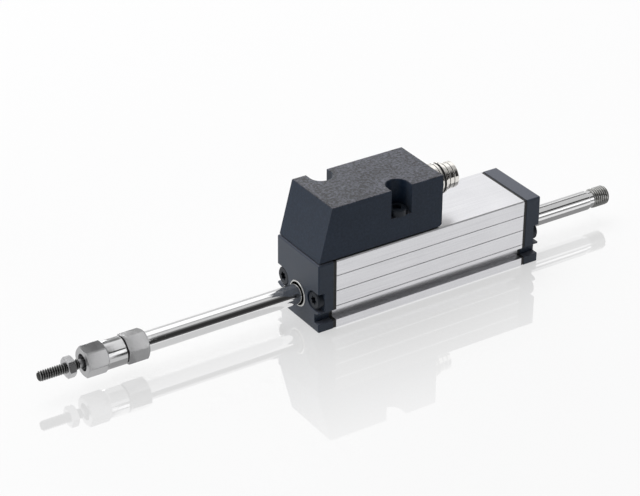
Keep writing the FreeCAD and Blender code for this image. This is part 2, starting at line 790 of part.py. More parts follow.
def build_leads():
    """Three leads, each straight up from the board, round one bend and back to its pin."""
    board_top = board_bottom + s.board_thickness
    pin_end = head_back - s.connector_tail - s.insert_tail - s.pin_tail
    wires = []
    for number, (y, z) in enumerate(pin_rows):
        name = "lead_%d" % (number + 1)
        x = s.wire_front - half_housing + s.wire_stagger * number
        height = connector_height + z
        rise = doc.addObject("Part::Cylinder", name + "_rise")
        bind(rise, "Radius", s.wire_radius)
        bind(rise, "Height", height - s.wire_bend - board_top)
        put(rise, x=x, y=y, z=board_top)
        bend = doc.addObject("Part::Torus", name + "_bend")
        bind(bend, "Radius1", s.wire_bend)
        bind(bend, "Radius2", s.wire_radius)
        bend.Angle3 = 90.0
        put(bend, x=x + s.wire_bend, y=y, z=height - s.wire_bend)
        upright = FreeCAD.Rotation(FreeCAD.Vector(1, 0, 0), 90)
        quarter = FreeCAD.Rotation(FreeCAD.Vector(0, 0, 1), 90)
        bend.Placement = FreeCAD.Placement(bend.Placement.Base, upright * quarter)
        run = doc.addObject("Part::Cylinder", name + "_run")
        bind(run, "Radius", s.wire_radius)
        bind(run, "Height", pin_end - x - s.wire_bend)
        put(run, x=x + s.wire_bend, y=y, z=height, axis=(0, 1, 0), angle=90.0)
        wire = doc.addObject("Part::MultiFuse", name)
        wire.Shapes = [rise, bend, run]
        wires.append(wire)
    return group("lead_wires", wires)


def block(label, x, y, z, length, width, height):
    box = doc.addObject("Part::Box", label)
    box.Label = label
    bind(box, "Length", length)
    bind(box, "Width", width)
    bind(box, "Height", height)
    return put(box, x=x, y=y, z=z)


def build_board():
    length = s.profile_length - s.board_end_gap * 2
    width = (board_slot_side - s.board_play) * 2
    track_length = length - s.track_end_margin * 2
    low = board_bottom - s.track_thickness
    half_track = s.track_width / 2
    board = block("track_board", -length / 2, -width / 2, board_bottom,
                  length, width, s.board_thickness)
    tracks = [block(label, -track_length / 2, middle - half_track, low,
                    track_length, s.track_width, s.track_thickness)
              for label, middle in (("resistive_track", -s.track_offset),
                                    ("collector_track", s.track_offset))]
    return [board] + tracks


# The carriage fills the free length less the stroke, and its top stays under the wipers.
carriage_length = s.profile_length - (s.bumper_thickness + s.stroke_end_clearance) * 2 - s.stroke
carriage_top = board_bottom - s.carriage_top_gap
clip_face = carriage_length / 2 - s.clip_pocket_depth
clip_start = clip_face + s.clip_play


def build_carriage():
    body = new_body("wiper_carriage")
    side = s.channel_half_width - s.carriage_side_clearance
    bottom = channel_floor + s.carriage_side_clearance
    bevel = s.carriage_bevel
    start = -carriage_length / 2
    right = [(side - bevel, bottom), (side, bottom + bevel), (side, carriage_top)]
    outline = sketch(body, "carriage_section", "YZ_Plane", [mirror_outline(right)], lift=start)
    pad(body, "carriage_block", outline, carriage_length)
    bore = sketch(body, "carriage_bore_place", "YZ_Plane", (),
                  [((0.0, s.rod_height), s.rod_radius + s.rod_running_clearance)], lift=start)
    pocket(body, "carriage_bore", bore, carriage_length, reverse=True)
    for number, (lift, reverse) in enumerate(((start, True), (-start, False))):
        place = sketch(body, "clip_pocket_place_%d" % (number + 1), "YZ_Plane", (),
                       [((0.0, s.rod_height), s.clip_pocket_radius)], lift=lift)
        pocket(body, "clip_pocket_%d" % (number + 1), place, s.clip_pocket_depth, reverse=reverse)
    return put(body)


def build_contacts():
    """Two bent spring fingers, foot on the carriage and tip just under its track."""
    start = -(s.finger_foot + s.finger_rise) / 2
    knee = start + s.finger_foot
    crest = knee + s.finger_rise
    thick = s.finger_thickness
    peak = board_bottom - s.track_thickness - s.wiper_gap
    droop = s.finger_tip / 2
    side = [(start, carriage_top), (knee, carriage_top), (crest, peak - thick),
            (crest + s.finger_tip, peak - thick - droop), (crest + s.finger_tip, peak - droop),
            (crest, peak), (knee, carriage_top + thick), (start, carriage_top + thick)]
    fingers = []
    for number, middle in enumerate((-s.track_offset, s.track_offset)):
        body = new_body("wiper_finger_%d" % (number + 1))
        outline = sketch(body, "finger_side_%d" % (number + 1), "XZ_Plane", [side],
                         lift=-(middle + s.finger_width / 2))
        pad(body, "finger_strip_%d" % (number + 1), outline, s.finger_width)
        fingers.append(put(body))
    return group("wiper_contacts", fingers)


# Stations of the coupling, counted from the centre of the ball along the rod's axis.
washer_start = s.socket_length - s.ball_setback
nut_start = washer_start + s.coupling_washer_thickness
nut_end = nut_start + s.lock_nut_length
ball_x = -half_housing - s.plain_rod_front - nut_end
socket_bore = s.ball_radius + s.ball_room
thread_bore = s.rod_radius + s.thread_room


def build_rod():
    front = ball_x + s.rod_end_behind_ball
    relief = half_housing + s.plain_rod_rear
    shoulder = relief + s.relief_width
    tip = shoulder + s.rear_thread_length
    bevel = s.rod_bevel
    radius = s.rod_radius
    groove = s.clip_groove_radius
    clip_end = clip_start + s.clip_thickness
    ease = s.relief_bevel
    outline = [(front, 0.0), (tip, 0.0), (tip, radius - bevel), (tip - bevel, radius),
               (shoulder + ease, radius), (shoulder, radius - ease), (shoulder, s.relief_radius),
               (relief, s.relief_radius), (relief, radius - ease), (relief - ease, radius),
               (clip_end, radius), (clip_end, groove), (clip_start, groove),
               (clip_start, radius), (-clip_start, radius), (-clip_start, groove),
               (-clip_end, groove), (-clip_end, radius), (front + bevel, radius),
               (front, radius - bevel)]
    return turned("push_rod", outline, z=s.rod_height)


def build_clips():
    """Open rings in the rod's grooves, one at each end of the carriage."""
    clips = []
    for number, way in enumerate((1, -1)):
        body = new_body("retaining_ring_%d" % (number + 1))
        turn_shape(body, "ring_blank_%d" % (number + 1),
                   ring(clip_start * way, (clip_start + s.clip_thickness) * way,
                        s.clip_groove_radius, s.clip_radius))
        gap = s.clip_opening / 2
        reach = s.clip_radius + s.clip_play
        low = clip_start if way > 0 else -(clip_start + s.clip_thickness)
        opening = sketch(body, "ring_gap_outline_%d" % (number + 1), "YZ_Plane",
                         [[(-gap, 0.0), (gap, 0.0), (gap, reach), (-gap, reach)]], lift=low)
        pocket(body, "ring_gap_%d" % (number + 1), opening, s.clip_thickness, reverse=True)
        clips.append(put(body, z=s.rod_height))
    return group("rod_retaining_rings", clips)


def hex_blank(x_from, x_to, width, bore):
    """A turned blank whose ends are coned so that milled flats end in curved edges."""
    corner = width / math.sqrt(3)
    chamfer = s.hex_chamfer
    return [(x_from, bore), (x_to, bore), (x_to, corner - chamfer), (x_to - chamfer / 2, corner),
            (x_from + chamfer / 2, corner), (x_from, corner - chamfer)]


def build_lock_nut():
    body = new_body("coupling_lock_nut")
    turn_shape(body, "lock_nut_blank", hex_blank(nut_start, nut_end, s.lock_nut_width, thread_bore))
    mill_hexagon(body, "lock_nut_flats", s.lock_nut_width, nut_start, s.lock_nut_length, s.lock_nut_width)
    return put(body, x=ball_x, z=s.rod_height, axis=(1, 0, 0), angle=-s.lock_nut_angle)


def build_socket():
    """Hexagon in front, round behind, with a ball seat, a plain bore and a thread inside."""
    body = new_body("coupling_socket")
    mouth = -s.ball_setback
    corner = s.socket_width / math.sqrt(3)
    chamfer = s.hex_chamfer
    hex_end = mouth + s.socket_hex_length
    lip = root(socket_bore * socket_bore - s.socket_lip_radius * s.socket_lip_radius)
    outline = [(mouth, s.socket_mouth_radius), (-lip, s.socket_lip_radius),
               Bend(0.0, socket_bore, 0.0, 0.0, False), (s.rod_end_behind_ball, socket_bore),
               (s.rod_end_behind_ball, thread_bore), (washer_start, thread_bore),
               (washer_start, s.socket_barrel_radius), (hex_end, s.socket_barrel_radius),
               (hex_end, corner - chamfer), (hex_end - chamfer / 2, corner),
               (mouth + chamfer / 2, corner), (mouth, corner - chamfer)]
    turn_shape(body, "socket_blank", outline)
    mill_hexagon(body, "socket_flats", s.socket_width, mouth, s.socket_hex_length, s.socket_width)
    return put(body, x=ball_x, z=s.rod_height, axis=(1, 0, 0), angle=-s.socket_angle)


def build_springs():
    """A stack of disc springs, coned in turn, between the ball's seat and the rod's end."""
    pitch = (s.rod_end_behind_ball - s.seat_back) / s.spring_count
    outer = socket_bore - s.seat_side_clearance
    inner = s.spring_inner_radius
    discs = []
    for number in range(int(SIZES["spring_count"])):
        start = s.seat_back + pitch * number
        back = start + pitch
        flat = start + s.spring_plate
        near = back - s.spring_plate
        if number % 2:
            outline = [(start, outer), (near, inner), (back, inner), (flat, outer)]
        else:
            outline = [(start, inner), (near, outer), (back, outer), (flat, inner)]
        discs.append(turned("disc_spring_%d" % (number + 1), outline, x=ball_x, z=s.rod_height))
    return group("coupling_springs", discs)


def build_seat():
    """A short plug with a hollow that follows the back of the ball."""
    hollow = s.ball_radius + s.seat_room
    rim = root(hollow * hollow - s.seat_front * s.seat_front)
    outer = socket_bore - s.seat_side_clearance
    outline = [(s.seat_back, 0.0), (s.seat_back, outer), (s.seat_front, outer), (s.seat_front, rim),
               Bend(hollow, 0.0, 0.0, 0.0, False)]
    return turned("ball_seat", outline, x=ball_x, z=s.rod_height)


# Where the stud and its nut are screwed together, both stand at the thread's pitch radius.
stud_nut_rear = s.stud_nut_thickness - s.stud_nut_front


def build_stud():
    join = root(s.ball_radius * s.ball_radius - s.neck_radius * s.neck_radius)
    tip = -s.stud_length
    crest = s.thread_radius
    outline = [(tip, 0.0), (tip, crest - s.stud_bevel), (tip + s.stud_bevel, crest),
               (-s.stud_nut_front, crest), (-s.stud_nut_front, s.stud_pitch_radius),
               (stud_nut_rear, s.stud_pitch_radius), (stud_nut_rear, crest),
               (-s.neck_end, crest), (s.stud_bevel / 2 - s.neck_end, s.neck_radius),
               (-join, s.neck_radius), Bend(s.ball_radius, 0.0, 0.0, 0.0, False)]
    return turned("ball_stud", outline, x=ball_x, z=s.rod_height)


def build_stud_nut():
    body = new_body("stud_nut")
    front = -s.stud_nut_front
    turn_shape(body, "stud_nut_blank",
               hex_blank(front, stud_nut_rear, s.stud_nut_width, s.stud_pitch_radius + s.thread_room))
    mill_hexagon(body, "stud_nut_flats", s.stud_nut_width, front, s.stud_nut_thickness, s.stud_nut_width)
    return put(body, x=ball_x, z=s.rod_height, axis=(1, 0, 0), angle=-s.stud_nut_angle)


def build_washer():
    return turned("coupling_washer", ring(washer_start, nut_start, thread_bore, s.coupling_washer_radius),
                  x=ball_x, z=s.rod_height)


def build_all():
    nodes = [build_profile()]
    nodes += build_end("front", -half_housing, 0.0)
    nodes += build_end("rear", half_housing, 180.0)
    nodes += [build_head(), build_head_gasket(), build_head_screws()]
    nodes += build_connector()
    nodes += [build_leads()]
    nodes += build_board()
    nodes += [build_carriage(), build_contacts()]
    nodes += [build_rod(), build_clips(), build_lock_nut(), build_washer(), build_socket(), build_springs()]
    nodes += [build_seat(), build_stud(), build_stud_nut()]
    return nodes


def write_nodes(nodes):
    """Refuse to write anything while any piece has failed."""
    doc.recompute()
    failed = [thing.Label for thing in doc.Objects if {"Invalid", "Error"} & set(thing.State)]
    failed += [node.Label for node in nodes if node.Shape.isNull() or not node.Shape.isValid()]
    if failed:
        raise RuntimeError("failed pieces: " + ", ".join(failed))
    os.makedirs("parts", exist_ok=True)
    for node in nodes:
        node.Shape.exportStep("parts/%s.step" % node.Label)
        print(node.Label, len(node.Shape.Solids), round(node.Shape.Volume, 2))


write_nodes(build_all())
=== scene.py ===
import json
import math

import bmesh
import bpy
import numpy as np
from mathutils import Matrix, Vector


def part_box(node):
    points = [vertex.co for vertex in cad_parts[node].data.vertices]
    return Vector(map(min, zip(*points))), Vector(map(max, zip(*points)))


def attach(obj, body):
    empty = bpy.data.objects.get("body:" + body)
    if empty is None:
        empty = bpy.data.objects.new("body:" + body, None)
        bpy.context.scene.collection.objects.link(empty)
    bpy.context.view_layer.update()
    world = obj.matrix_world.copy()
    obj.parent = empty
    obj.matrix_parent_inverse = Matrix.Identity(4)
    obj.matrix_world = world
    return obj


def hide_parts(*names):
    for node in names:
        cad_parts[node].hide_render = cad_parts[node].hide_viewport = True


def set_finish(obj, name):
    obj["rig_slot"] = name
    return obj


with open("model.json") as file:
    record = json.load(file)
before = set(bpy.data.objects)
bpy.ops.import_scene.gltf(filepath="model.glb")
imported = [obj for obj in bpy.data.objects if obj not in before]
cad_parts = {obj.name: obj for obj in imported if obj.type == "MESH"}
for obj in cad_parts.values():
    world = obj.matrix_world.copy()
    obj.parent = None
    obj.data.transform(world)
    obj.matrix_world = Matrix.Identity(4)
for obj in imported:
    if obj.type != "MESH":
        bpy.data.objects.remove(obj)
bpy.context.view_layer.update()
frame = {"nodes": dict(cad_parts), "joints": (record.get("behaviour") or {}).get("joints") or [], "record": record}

# %% [markdown]
# A linear potentiometer measures how far a machine part has moved. A square aluminium housing
# holds the resistive track, a ground steel rod slides through it, and a ball coupling on the
# rod's front end takes hold of the machine part.
#
# The solids are already in the scene: this notebook gives them their finish, and it makes again,
# as denser surfaces, those pieces whose look depends on threads, milled hexagons and soft edges.

MM = 0.001
nodes = frame["nodes"]

# %% [markdown]
# The mounts of the record say where the threads are, so that the visible threads can't drift away
# from the places where a user screws things on.

# %% Places that several pieces share
mounts = {mount["name"]: mount for mount in frame["record"]["mounts"]}
joints = {joint["name"]: joint for joint in frame["joints"]}
ROD_AXIS = joints["rod_turn"]["pos_m"][2]
BALL_X = joints["seat_turn"]["pos_m"][0]
PLUG_AXIS = mounts["connector_thread"]["pos_m"][2]


def thread_span(mount_name):
    """Where a stated thread starts and ends along x, lowest first."""
    mount = mounts[mount_name]
    half = mount["dims"]["length_mm"] * MM / 2
    return mount["pos_m"][0] - half, mount["pos_m"][0] + half


print("threads:", {name: [round(x / MM, 2) for x in thread_span(name)]
                   for name in ("stud_thread", "rear_thread", "connector_thread")})

# %% [markdown]
# Every turned piece is one line of stations, each with a place along the axis and a radius,
# carried round the axis. Real corners are never knife-sharp, so each corner of the line becomes a
# short curve. Long straight runs get stations too, because otherwise the curve's slanted shading
# would spread over them.

# %% Lines of stations
CORNER_STEPS = 4
# The most of a run that an eased corner takes, and a length that keeps a run from being nought.
EASE_SHARE = 0.4
TINY = 1e-12


def eased(line, ease, closed):
    """Round the corners of a line of points. Each corner becomes the quadratic curve that leaves
    the run before it at the distance ease and joins the run after it at the same distance."""
    line = np.asarray(line, float)
    before = line - np.roll(line, 1, axis=0)
    after = np.roll(line, -1, axis=0) - line
    length_before = np.maximum(np.linalg.norm(before, axis=1, keepdims=True), TINY)
    length_after = np.maximum(np.linalg.norm(after, axis=1, keepdims=True), TINY)
    start = line - before / length_before * np.minimum(ease, EASE_SHARE * length_before)
    finish = line + after / length_after * np.minimum(ease, EASE_SHARE * length_after)
    share = np.linspace(0, 1, CORNER_STEPS + 1)[None, :, None]
    curve = (1 - share) ** 2 * start[:, None] + 2 * share * (1 - share) * line[:, None]
    curve = curve + share ** 2 * finish[:, None]
    if closed:
        return curve.reshape(-1, 2)
    return np.vstack([line[:1], curve[1:-1].reshape(-1, 2), line[-1:]])


def divided(line, spacing, closed):
    """Divide each run of a line into equal steps that are no longer than the spacing."""
    ends = np.roll(line, -1, axis=0) if closed else line[1:]
    starts = line if closed else line[:-1]
    runs = ends - starts
    counts = np.maximum(1, np.ceil(np.linalg.norm(runs, axis=1) / spacing)).astype(int)
    run = np.repeat(np.arange(len(counts)), counts)
    step = np.arange(counts.sum()) - np.repeat(np.cumsum(counts) - counts, counts)
    points = starts[run] + runs[run] * (step / counts[run])[:, None]
    return points if closed else np.vstack([points, line[-1:]])


corner = eased([(0, 0), (1, 0), (1, 1)], 0.1, closed=False)
print("a square corner becomes", len(corner) - 2, "points and cuts it by",
      round(float(np.linalg.norm(corner[3] - (1, 0))), 3))

# %% [markdown]
# Two things break the roundness of a turned piece. A thread is a groove that climbs one pitch for
# every turn, and a milled hexagon is six flats. Both only ever take metal away, so both are a
# limit on the radius, and the smaller of the two radii wins. A soft minimum leaves the edge
# between them slightly rounded, as deburring does.

# %% Threads and hexagons as limits on the radius
# The depth of a thread's groove and the widths of its flat crest and root, as shares of the pitch.
THREAD_DEPTH = 0.6
CREST_FLAT = 1 / 8
ROOT_FLAT = 1 / 4
STATIONS_A_PITCH = 12


def soft_minimum(first, second, softness):
    """The smaller of two lengths, rounded over where they are nearly equal."""
    return -softness * np.logaddexp(-first / softness, -second / softness)


def thread_limit(x, angle, pitch, crest):
    """The radius of a right-handed thread: the crest less a groove, which is a triangle wave of
    x / pitch + angle / turn with its crest and root cut flat."""
    phase = (x / pitch + angle / (2 * np.pi)) % 1.0
    wave = np.abs(2 * phase - 1)
    groove = np.clip((wave - CREST_FLAT) / (1 - CREST_FLAT - ROOT_FLAT), 0, 1)
    return crest - THREAD_DEPTH * pitch * groove


def hexagon_limit(angle, width, turned_by, softness):
    """The radius of a hexagon: half its width over the cosine of the angle to the nearest flat's
    middle, with its six corners slightly rounded."""
    from_flat = (angle - turned_by + np.pi / 6) % (np.pi / 3) - np.pi / 6
    corner = width / math.sqrt(3)
    return soft_minimum(width / 2 / np.cos(from_flat), corner - softness, softness)


print("a hexagon 2 wide reaches",
      np.round(hexagon_limit(np.array([0, np.pi / 6]), 2.0, 0.0, 0.01), 3), "at flat and corner")

# %% [markdown]
# Every new piece gets its points and faces as whole arrays. The volume inside tells whether the
# faces point outwards: it comes out below nought when they don't, and then they are turned round.

# %% From points and faces to a piece
SHARP_ANGLE = math.radians(38)
pieces = {}


def enclosed(points, faces):
    """The volume inside a closed surface: a sixth of the sum of each triangle's triple product."""
    corners = points[faces]
    return np.einsum("ij,ij->i", corners[:, 0], np.cross(corners[:, 1], corners[:, 2])).sum() / 6


def new_piece(name, points, quads, triangles, body, slot, replaced):
    """Put the points and faces into a mesh whose faces point outwards. It rides on its body."""
    halves = np.vstack([quads[:, [0, 1, 2]], quads[:, [0, 2, 3]], triangles])
    volume = enclosed(points, halves)
    if volume < 0:
        quads, triangles = quads[:, ::-1], triangles[:, ::-1]
    mesh = bpy.data.meshes.new(name)
    mesh.from_pydata(points.tolist(), [], quads.tolist() + triangles.tolist())
    mesh.polygons.foreach_set("use_smooth", np.ones(len(mesh.polygons), bool))
    mesh.set_sharp_from_angle(angle=SHARP_ANGLE)
    mesh.validate()
    piece = bpy.data.objects.new(name, mesh)
    bpy.context.scene.collection.objects.link(piece)
    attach(piece, body)
    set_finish(piece, slot)
    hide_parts(replaced)
    pieces[name] = piece
    print(name, len(mesh.polygons), "faces,", round(abs(volume) / MM ** 3, 1), "mm3")


cube_corner = np.vstack([np.zeros(3), np.eye(3)])
print("a cube's corner holds",
      round(enclosed(cube_corner, np.array([[0, 2, 1], [0, 1, 3], [0, 3, 2], [1, 2, 3]])), 4))

# %% [markdown]
# The stations, turned by every angle, make a grid of points, and the grid a mesh of quads. Where
# the line starts and ends on the axis, a fan of triangles closes each pole, and where the line
# runs back to its start, the surface closes like a ring.

# %% Carry a line round the axis


def grid_quads(index, closed):
    """Quads between each row of points and the next, and between each point and its neighbour."""
    below = index if closed else index[:-1]
    above = np.roll(index, -1, axis=0) if closed else index[1:]
    quads = [below, np.roll(below, -1, axis=1), np.roll(above, -1, axis=1), above]
    return np.stack(quads, axis=-1).reshape(-1, 4)


def carried_round(name, line, axis_z, around, body, slot, replaced, closed=False, limits=(),
                  start=0.0):
    """Carry a line of (x, radius) round the axis at the height axis_z: y is the radius times the
    cosine of the angle and z the radius times its sine. Each limit is a stretch of x and a
    function of x, angle and radius that gives the radius there."""
    angle = start + np.arange(around) * 2 * np.pi / around
    x = line[:, 0, None] + 0 * angle
    radius = line[:, 1, None] + 0 * angle
    for low, high, limit in limits:
        inside = (x >= low) & (x <= high)
        radius = np.where(inside, limit(x, angle[None, :] + 0 * x, radius), radius)
    points = np.stack([x, radius * np.cos(angle), axis_z + radius * np.sin(angle)], axis=-1)
    triangles = np.zeros((0, 3), int)
    if closed:
        index = np.arange(len(line) * around).reshape(-1, around)
        points = points.reshape(-1, 3)
    else:
        index = np.arange((len(line) - 2) * around).reshape(-1, around)
        points = np.vstack([points[1:-1].reshape(-1, 3), points[0, :1], points[-1, :1]])
        first, last = index[0], index[-1]
        pole = np.full(around, index.size)
        triangles = np.vstack([np.stack([pole, np.roll(first, -1), first], axis=-1),
                               np.stack([pole + 1, last, np.roll(last, -1)], axis=-1)])
    new_piece(name, points, grid_quads(index, closed), triangles, body, slot, replaced)


def thread(pitch, crest):
    """A limit for carried_round: the turned radius or the thread's, whichever is smaller."""
    def limit(x, angle, radius):
        return np.minimum(radius, thread_limit(x, angle, pitch, crest))
    return limit


print("a grid of 3 rows of 4 has", len(grid_quads(np.arange(12).reshape(3, 4), False)), "quads")

# %% [markdown]
# The rod is ground steel, 6 mm thick. Behind the housing it is undercut, and a fine thread
# follows. The grooves of the retaining rings and the front thread stay hidden, so the surface
# repeats only what shows.

# %% The rod with its rear thread
rod_low, rod_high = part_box("push_rod")
ROD_RADIUS = 3.0 * MM
RELIEF_RADIUS = 2.65 * MM
RELIEF_WIDTH = 1.5 * MM
ROD_BEVEL = 0.5 * MM
SHOULDER_BEVEL = 0.3 * MM
REAR_PITCH = 0.75 * MM
ROD_STATION = 2.0 * MM
ROD_AROUND = 144
# How far the corners of turned pieces are eased, and how far an upright wall moves along x.
TURNED_EASE = 0.06 * MM
HAIR = 0.01 * MM
thread_start, thread_end = thread_span("rear_thread")
relief_end = thread_start - SHOULDER_BEVEL
relief_start = relief_end - RELIEF_WIDTH

plain = eased([(rod_low.x, 0.0), (rod_low.x, ROD_RADIUS - ROD_BEVEL),
               (rod_low.x + ROD_BEVEL, ROD_RADIUS), (relief_start - SHOULDER_BEVEL, ROD_RADIUS),
               (relief_start, ROD_RADIUS - SHOULDER_BEVEL), (relief_start, RELIEF_RADIUS),
               (relief_end, RELIEF_RADIUS)], TURNED_EASE, closed=False)
threaded = np.array([(relief_end, RELIEF_RADIUS),
                     (relief_end + HAIR, ROD_RADIUS - SHOULDER_BEVEL),
                     (thread_start, ROD_RADIUS), (thread_end, ROD_RADIUS),
                     (rod_high.x, ROD_RADIUS - ROD_BEVEL)])
rod_line = np.vstack([divided(plain, ROD_STATION, closed=False)[:-1],
                      divided(threaded, REAR_PITCH / STATIONS_A_PITCH, closed=False),
                      [(rod_high.x, 0.0)]])
carried_round("rod_with_thread", rod_line, ROD_AXIS, ROD_AROUND, "rod", "ground_steel", "push_rod",
              limits=[(relief_end + HAIR / 2, rod_high.x + MM, thread(REAR_PITCH, ROD_RADIUS))])

# %% [markdown]
# The ball stud is dull steel: a thread over its whole shank, a short neck and a ball in the
# coupling's socket. The ball is an arc of the same line.

# %% The stud with its thread
stud_low, stud_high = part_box("ball_stud")
BALL_RADIUS = stud_high.x - BALL_X
BALL_STATIONS = 24
STUD_RADIUS = 1.5 * MM
STUD_BEVEL = 0.4 * MM
STUD_PITCH = 0.7 * MM
STUD_AROUND = 96
NECK_RADIUS = 1.3 * MM
NECK_END = BALL_X - 5.3 * MM
ball_edge = math.asin(NECK_RADIUS / BALL_RADIUS)
ball_turn = np.linspace(np.pi - ball_edge, 0.0, BALL_STATIONS)
ball_line = np.stack([BALL_X + BALL_RADIUS * np.cos(ball_turn), BALL_RADIUS * np.sin(ball_turn)],
                     axis=-1)
shank = np.array([(stud_low.x, STUD_RADIUS - STUD_BEVEL), (stud_low.x + STUD_BEVEL, STUD_RADIUS),
                  (NECK_END, STUD_RADIUS), (NECK_END + STUD_BEVEL / 2, NECK_RADIUS)])
stud_line = np.vstack([[(stud_low.x, 0.0)],
                       divided(shank, STUD_PITCH / STATIONS_A_PITCH, closed=False),
                       ball_line[:-1], [(stud_high.x, 0.0)]])
carried_round("stud_with_thread", stud_line, ROD_AXIS, STUD_AROUND, "stud", "stud_steel",
              "ball_stud",
              limits=[(stud_low.x - MM, NECK_END + HAIR, thread(STUD_PITCH, STUD_RADIUS))])

# %% [markdown]
# Nuts and the coupling's socket are turned first: their ends are coned at a shallow angle. Then
# the flats are milled, and where a flat meets the cone, the well-known arcs appear.

# %% Hexagons of the coupling
COUPLING_WIDTH = 8.0 * MM
STUD_NUT_WIDTH = 5.5 * MM
STUD_NUT_BORE = 1.35 * MM
LOCK_NUT_BORE = ROD_RADIUS + 0.02 * MM
STUD_NUT_TURN, LOCK_NUT_TURN, SOCKET_TURN = np.radians([-24, -44, -27])
CHAMFER = 0.6 * MM
EDGE = 0.05 * MM
STATION = 0.09 * MM
HEXAGON_AROUND = 192


def nut_line(low, high, bore, width):
    """The closed line of a nut before milling: bore, end faces and two shallow cones."""
    corner = width / math.sqrt(3)
    corners = [(low, bore), (low, corner - CHAMFER), (low + CHAMFER / 2, corner),
               (high - CHAMFER / 2, corner), (high, corner - CHAMFER), (high, bore)]
    return divided(eased(corners, EDGE, closed=True), STATION, closed=True)


def milled(width, turned_by):
    """A limit for carried_round: the turned radius or the hexagon's, with a rounded edge."""
    def limit(x, angle, radius):
        return soft_minimum(radius, hexagon_limit(angle, width, turned_by, EDGE / 2), EDGE / 3)
    return limit


def nut(name, node, bore, width, turned_by, body, slot):
    """Carry a nut's line round the rod's axis and mill its six flats."""
    low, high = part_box(node)
    carried_round(name, nut_line(low.x, high.x, bore, width), ROD_AXIS, HEXAGON_AROUND, body, slot,
                  node, closed=True, start=turned_by,
                  limits=[(low.x - MM, high.x + MM, milled(width, turned_by))])


nut("milled_stud_nut", "stud_nut", STUD_NUT_BORE, STUD_NUT_WIDTH, STUD_NUT_TURN,
    "stud", "stud_steel")
nut("milled_lock_nut", "coupling_lock_nut", LOCK_NUT_BORE, COUPLING_WIDTH, LOCK_NUT_TURN,
    "rod", "coupling_steel")

# %% [markdown]
# The socket is a hexagon in front and a plain barrel behind, with the ball's cup inside.

# %% The coupling's socket
socket_low, socket_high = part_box("coupling_socket")
SOCKET_HEX_END = socket_low.x + 6.3 * MM
BARREL_RADIUS = 4.1 * MM
CUP_RADIUS = BALL_RADIUS + 0.05 * MM
CUP_STATIONS = 10
LIP_RADIUS = 2.1 * MM
FUNNEL_RADIUS = 2.5 * MM
CUP_END = BALL_X + 4.8 * MM
socket_corner = COUPLING_WIDTH / math.sqrt(3)
cup_turn = np.linspace(np.pi - math.asin(LIP_RADIUS / CUP_RADIUS), np.pi / 2, CUP_STATIONS)
cup = np.stack([BALL_X + CUP_RADIUS * np.cos(cup_turn), CUP_RADIUS * np.sin(cup_turn)], axis=-1)
outside = [(CUP_END, CUP_RADIUS), (CUP_END, LOCK_NUT_BORE), (socket_high.x, LOCK_NUT_BORE),
           (socket_high.x, BARREL_RADIUS), (SOCKET_HEX_END, BARREL_RADIUS),
           (SOCKET_HEX_END, socket_corner - CHAMFER),
           (SOCKET_HEX_END - CHAMFER / 2, socket_corner),
           (socket_low.x + CHAMFER / 2, socket_corner),
           (socket_low.x, socket_corner - CHAMFER), (socket_low.x, FUNNEL_RADIUS)]
socket_line = divided(eased(np.vstack([cup, outside]), EDGE, closed=True), STATION, closed=True)
carried_round("milled_socket", socket_line, ROD_AXIS, HEXAGON_AROUND, "rod", "coupling_steel",
              "coupling_socket", closed=True, start=SOCKET_TURN,
              limits=[(socket_low.x - MM, SOCKET_HEX_END + HAIR / 10,
                       milled(COUPLING_WIDTH, SOCKET_TURN))])

# %% [markdown]
# The connector's shell is turned brass with a nickel plating: a collar against the housing, with
# one fine groove, a wide groove for the ring seal, a shoulder and a barrel with two fine grooves.
# The ring seal is one circle carried round.

# %% The connector's shell and its ring seal
shell_low, shell_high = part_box("connector_shell")
ring_low, ring_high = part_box("connector_o_ring")
PLUG_RADIUS = mounts["connector_thread"]["dims"]["r_mm"] * MM
COLLAR_RADIUS = 4.75 * MM
SHOULDER_RADIUS = 4.7 * MM
GROOVE_RADIUS = 3.8 * MM
MOUTH_RADIUS = 3.15 * MM
INSERT_RADIUS = 2.6 * MM
MOUTH_FLOOR = shell_high.x - 7.0 * MM
HEAD_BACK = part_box("connector_head")[1].x
SHELL_BEVEL = 0.3 * MM
FINE_GROOVE = 0.22 * MM
SHELL_STATION = 0.35 * MM
SHELL_AROUND = 128
SEAL_STATIONS, SEAL_AROUND = 24, 96
barrel_start, barrel_end = thread_span("connector_thread")
collar_groove = ring_low.x - 3 * FINE_GROOVE
barrel_grooves = barrel_start + (barrel_end - barrel_start) * np.array([0.3, 0.68])


def fine_groove(place, radius):
    """Three stations of a narrow V-shaped groove in a cylinder."""
    return [(place - FINE_GROOVE, radius), (place, radius - FINE_GROOVE),
            (place + FINE_GROOVE, radius)]


shell_corners = [(shell_low.x, INSERT_RADIUS), (shell_low.x, PLUG_RADIUS),
                 (HEAD_BACK, PLUG_RADIUS), (HEAD_BACK, COLLAR_RADIUS),
                 *fine_groove(collar_groove, COLLAR_RADIUS), (ring_low.x, COLLAR_RADIUS),
                 (ring_low.x, GROOVE_RADIUS), (ring_high.x, GROOVE_RADIUS),
                 (ring_high.x, SHOULDER_RADIUS), (barrel_start, SHOULDER_RADIUS),
                 (barrel_start, PLUG_RADIUS), *fine_groove(barrel_grooves[0], PLUG_RADIUS),
                 *fine_groove(barrel_grooves[1], PLUG_RADIUS), (barrel_end, PLUG_RADIUS),
                 (shell_high.x, PLUG_RADIUS - SHELL_BEVEL),
                 (shell_high.x, MOUTH_RADIUS + SHELL_BEVEL),
                 (shell_high.x - SHELL_BEVEL, MOUTH_RADIUS), (MOUTH_FLOOR, MOUTH_RADIUS),
                 (MOUTH_FLOOR, INSERT_RADIUS)]
shell_line = divided(eased(shell_corners, TURNED_EASE, closed=True), SHELL_STATION, closed=True)
carried_round("turned_connector_shell", shell_line, PLUG_AXIS, SHELL_AROUND, "housing", "nickel",
              "connector_shell", closed=True)
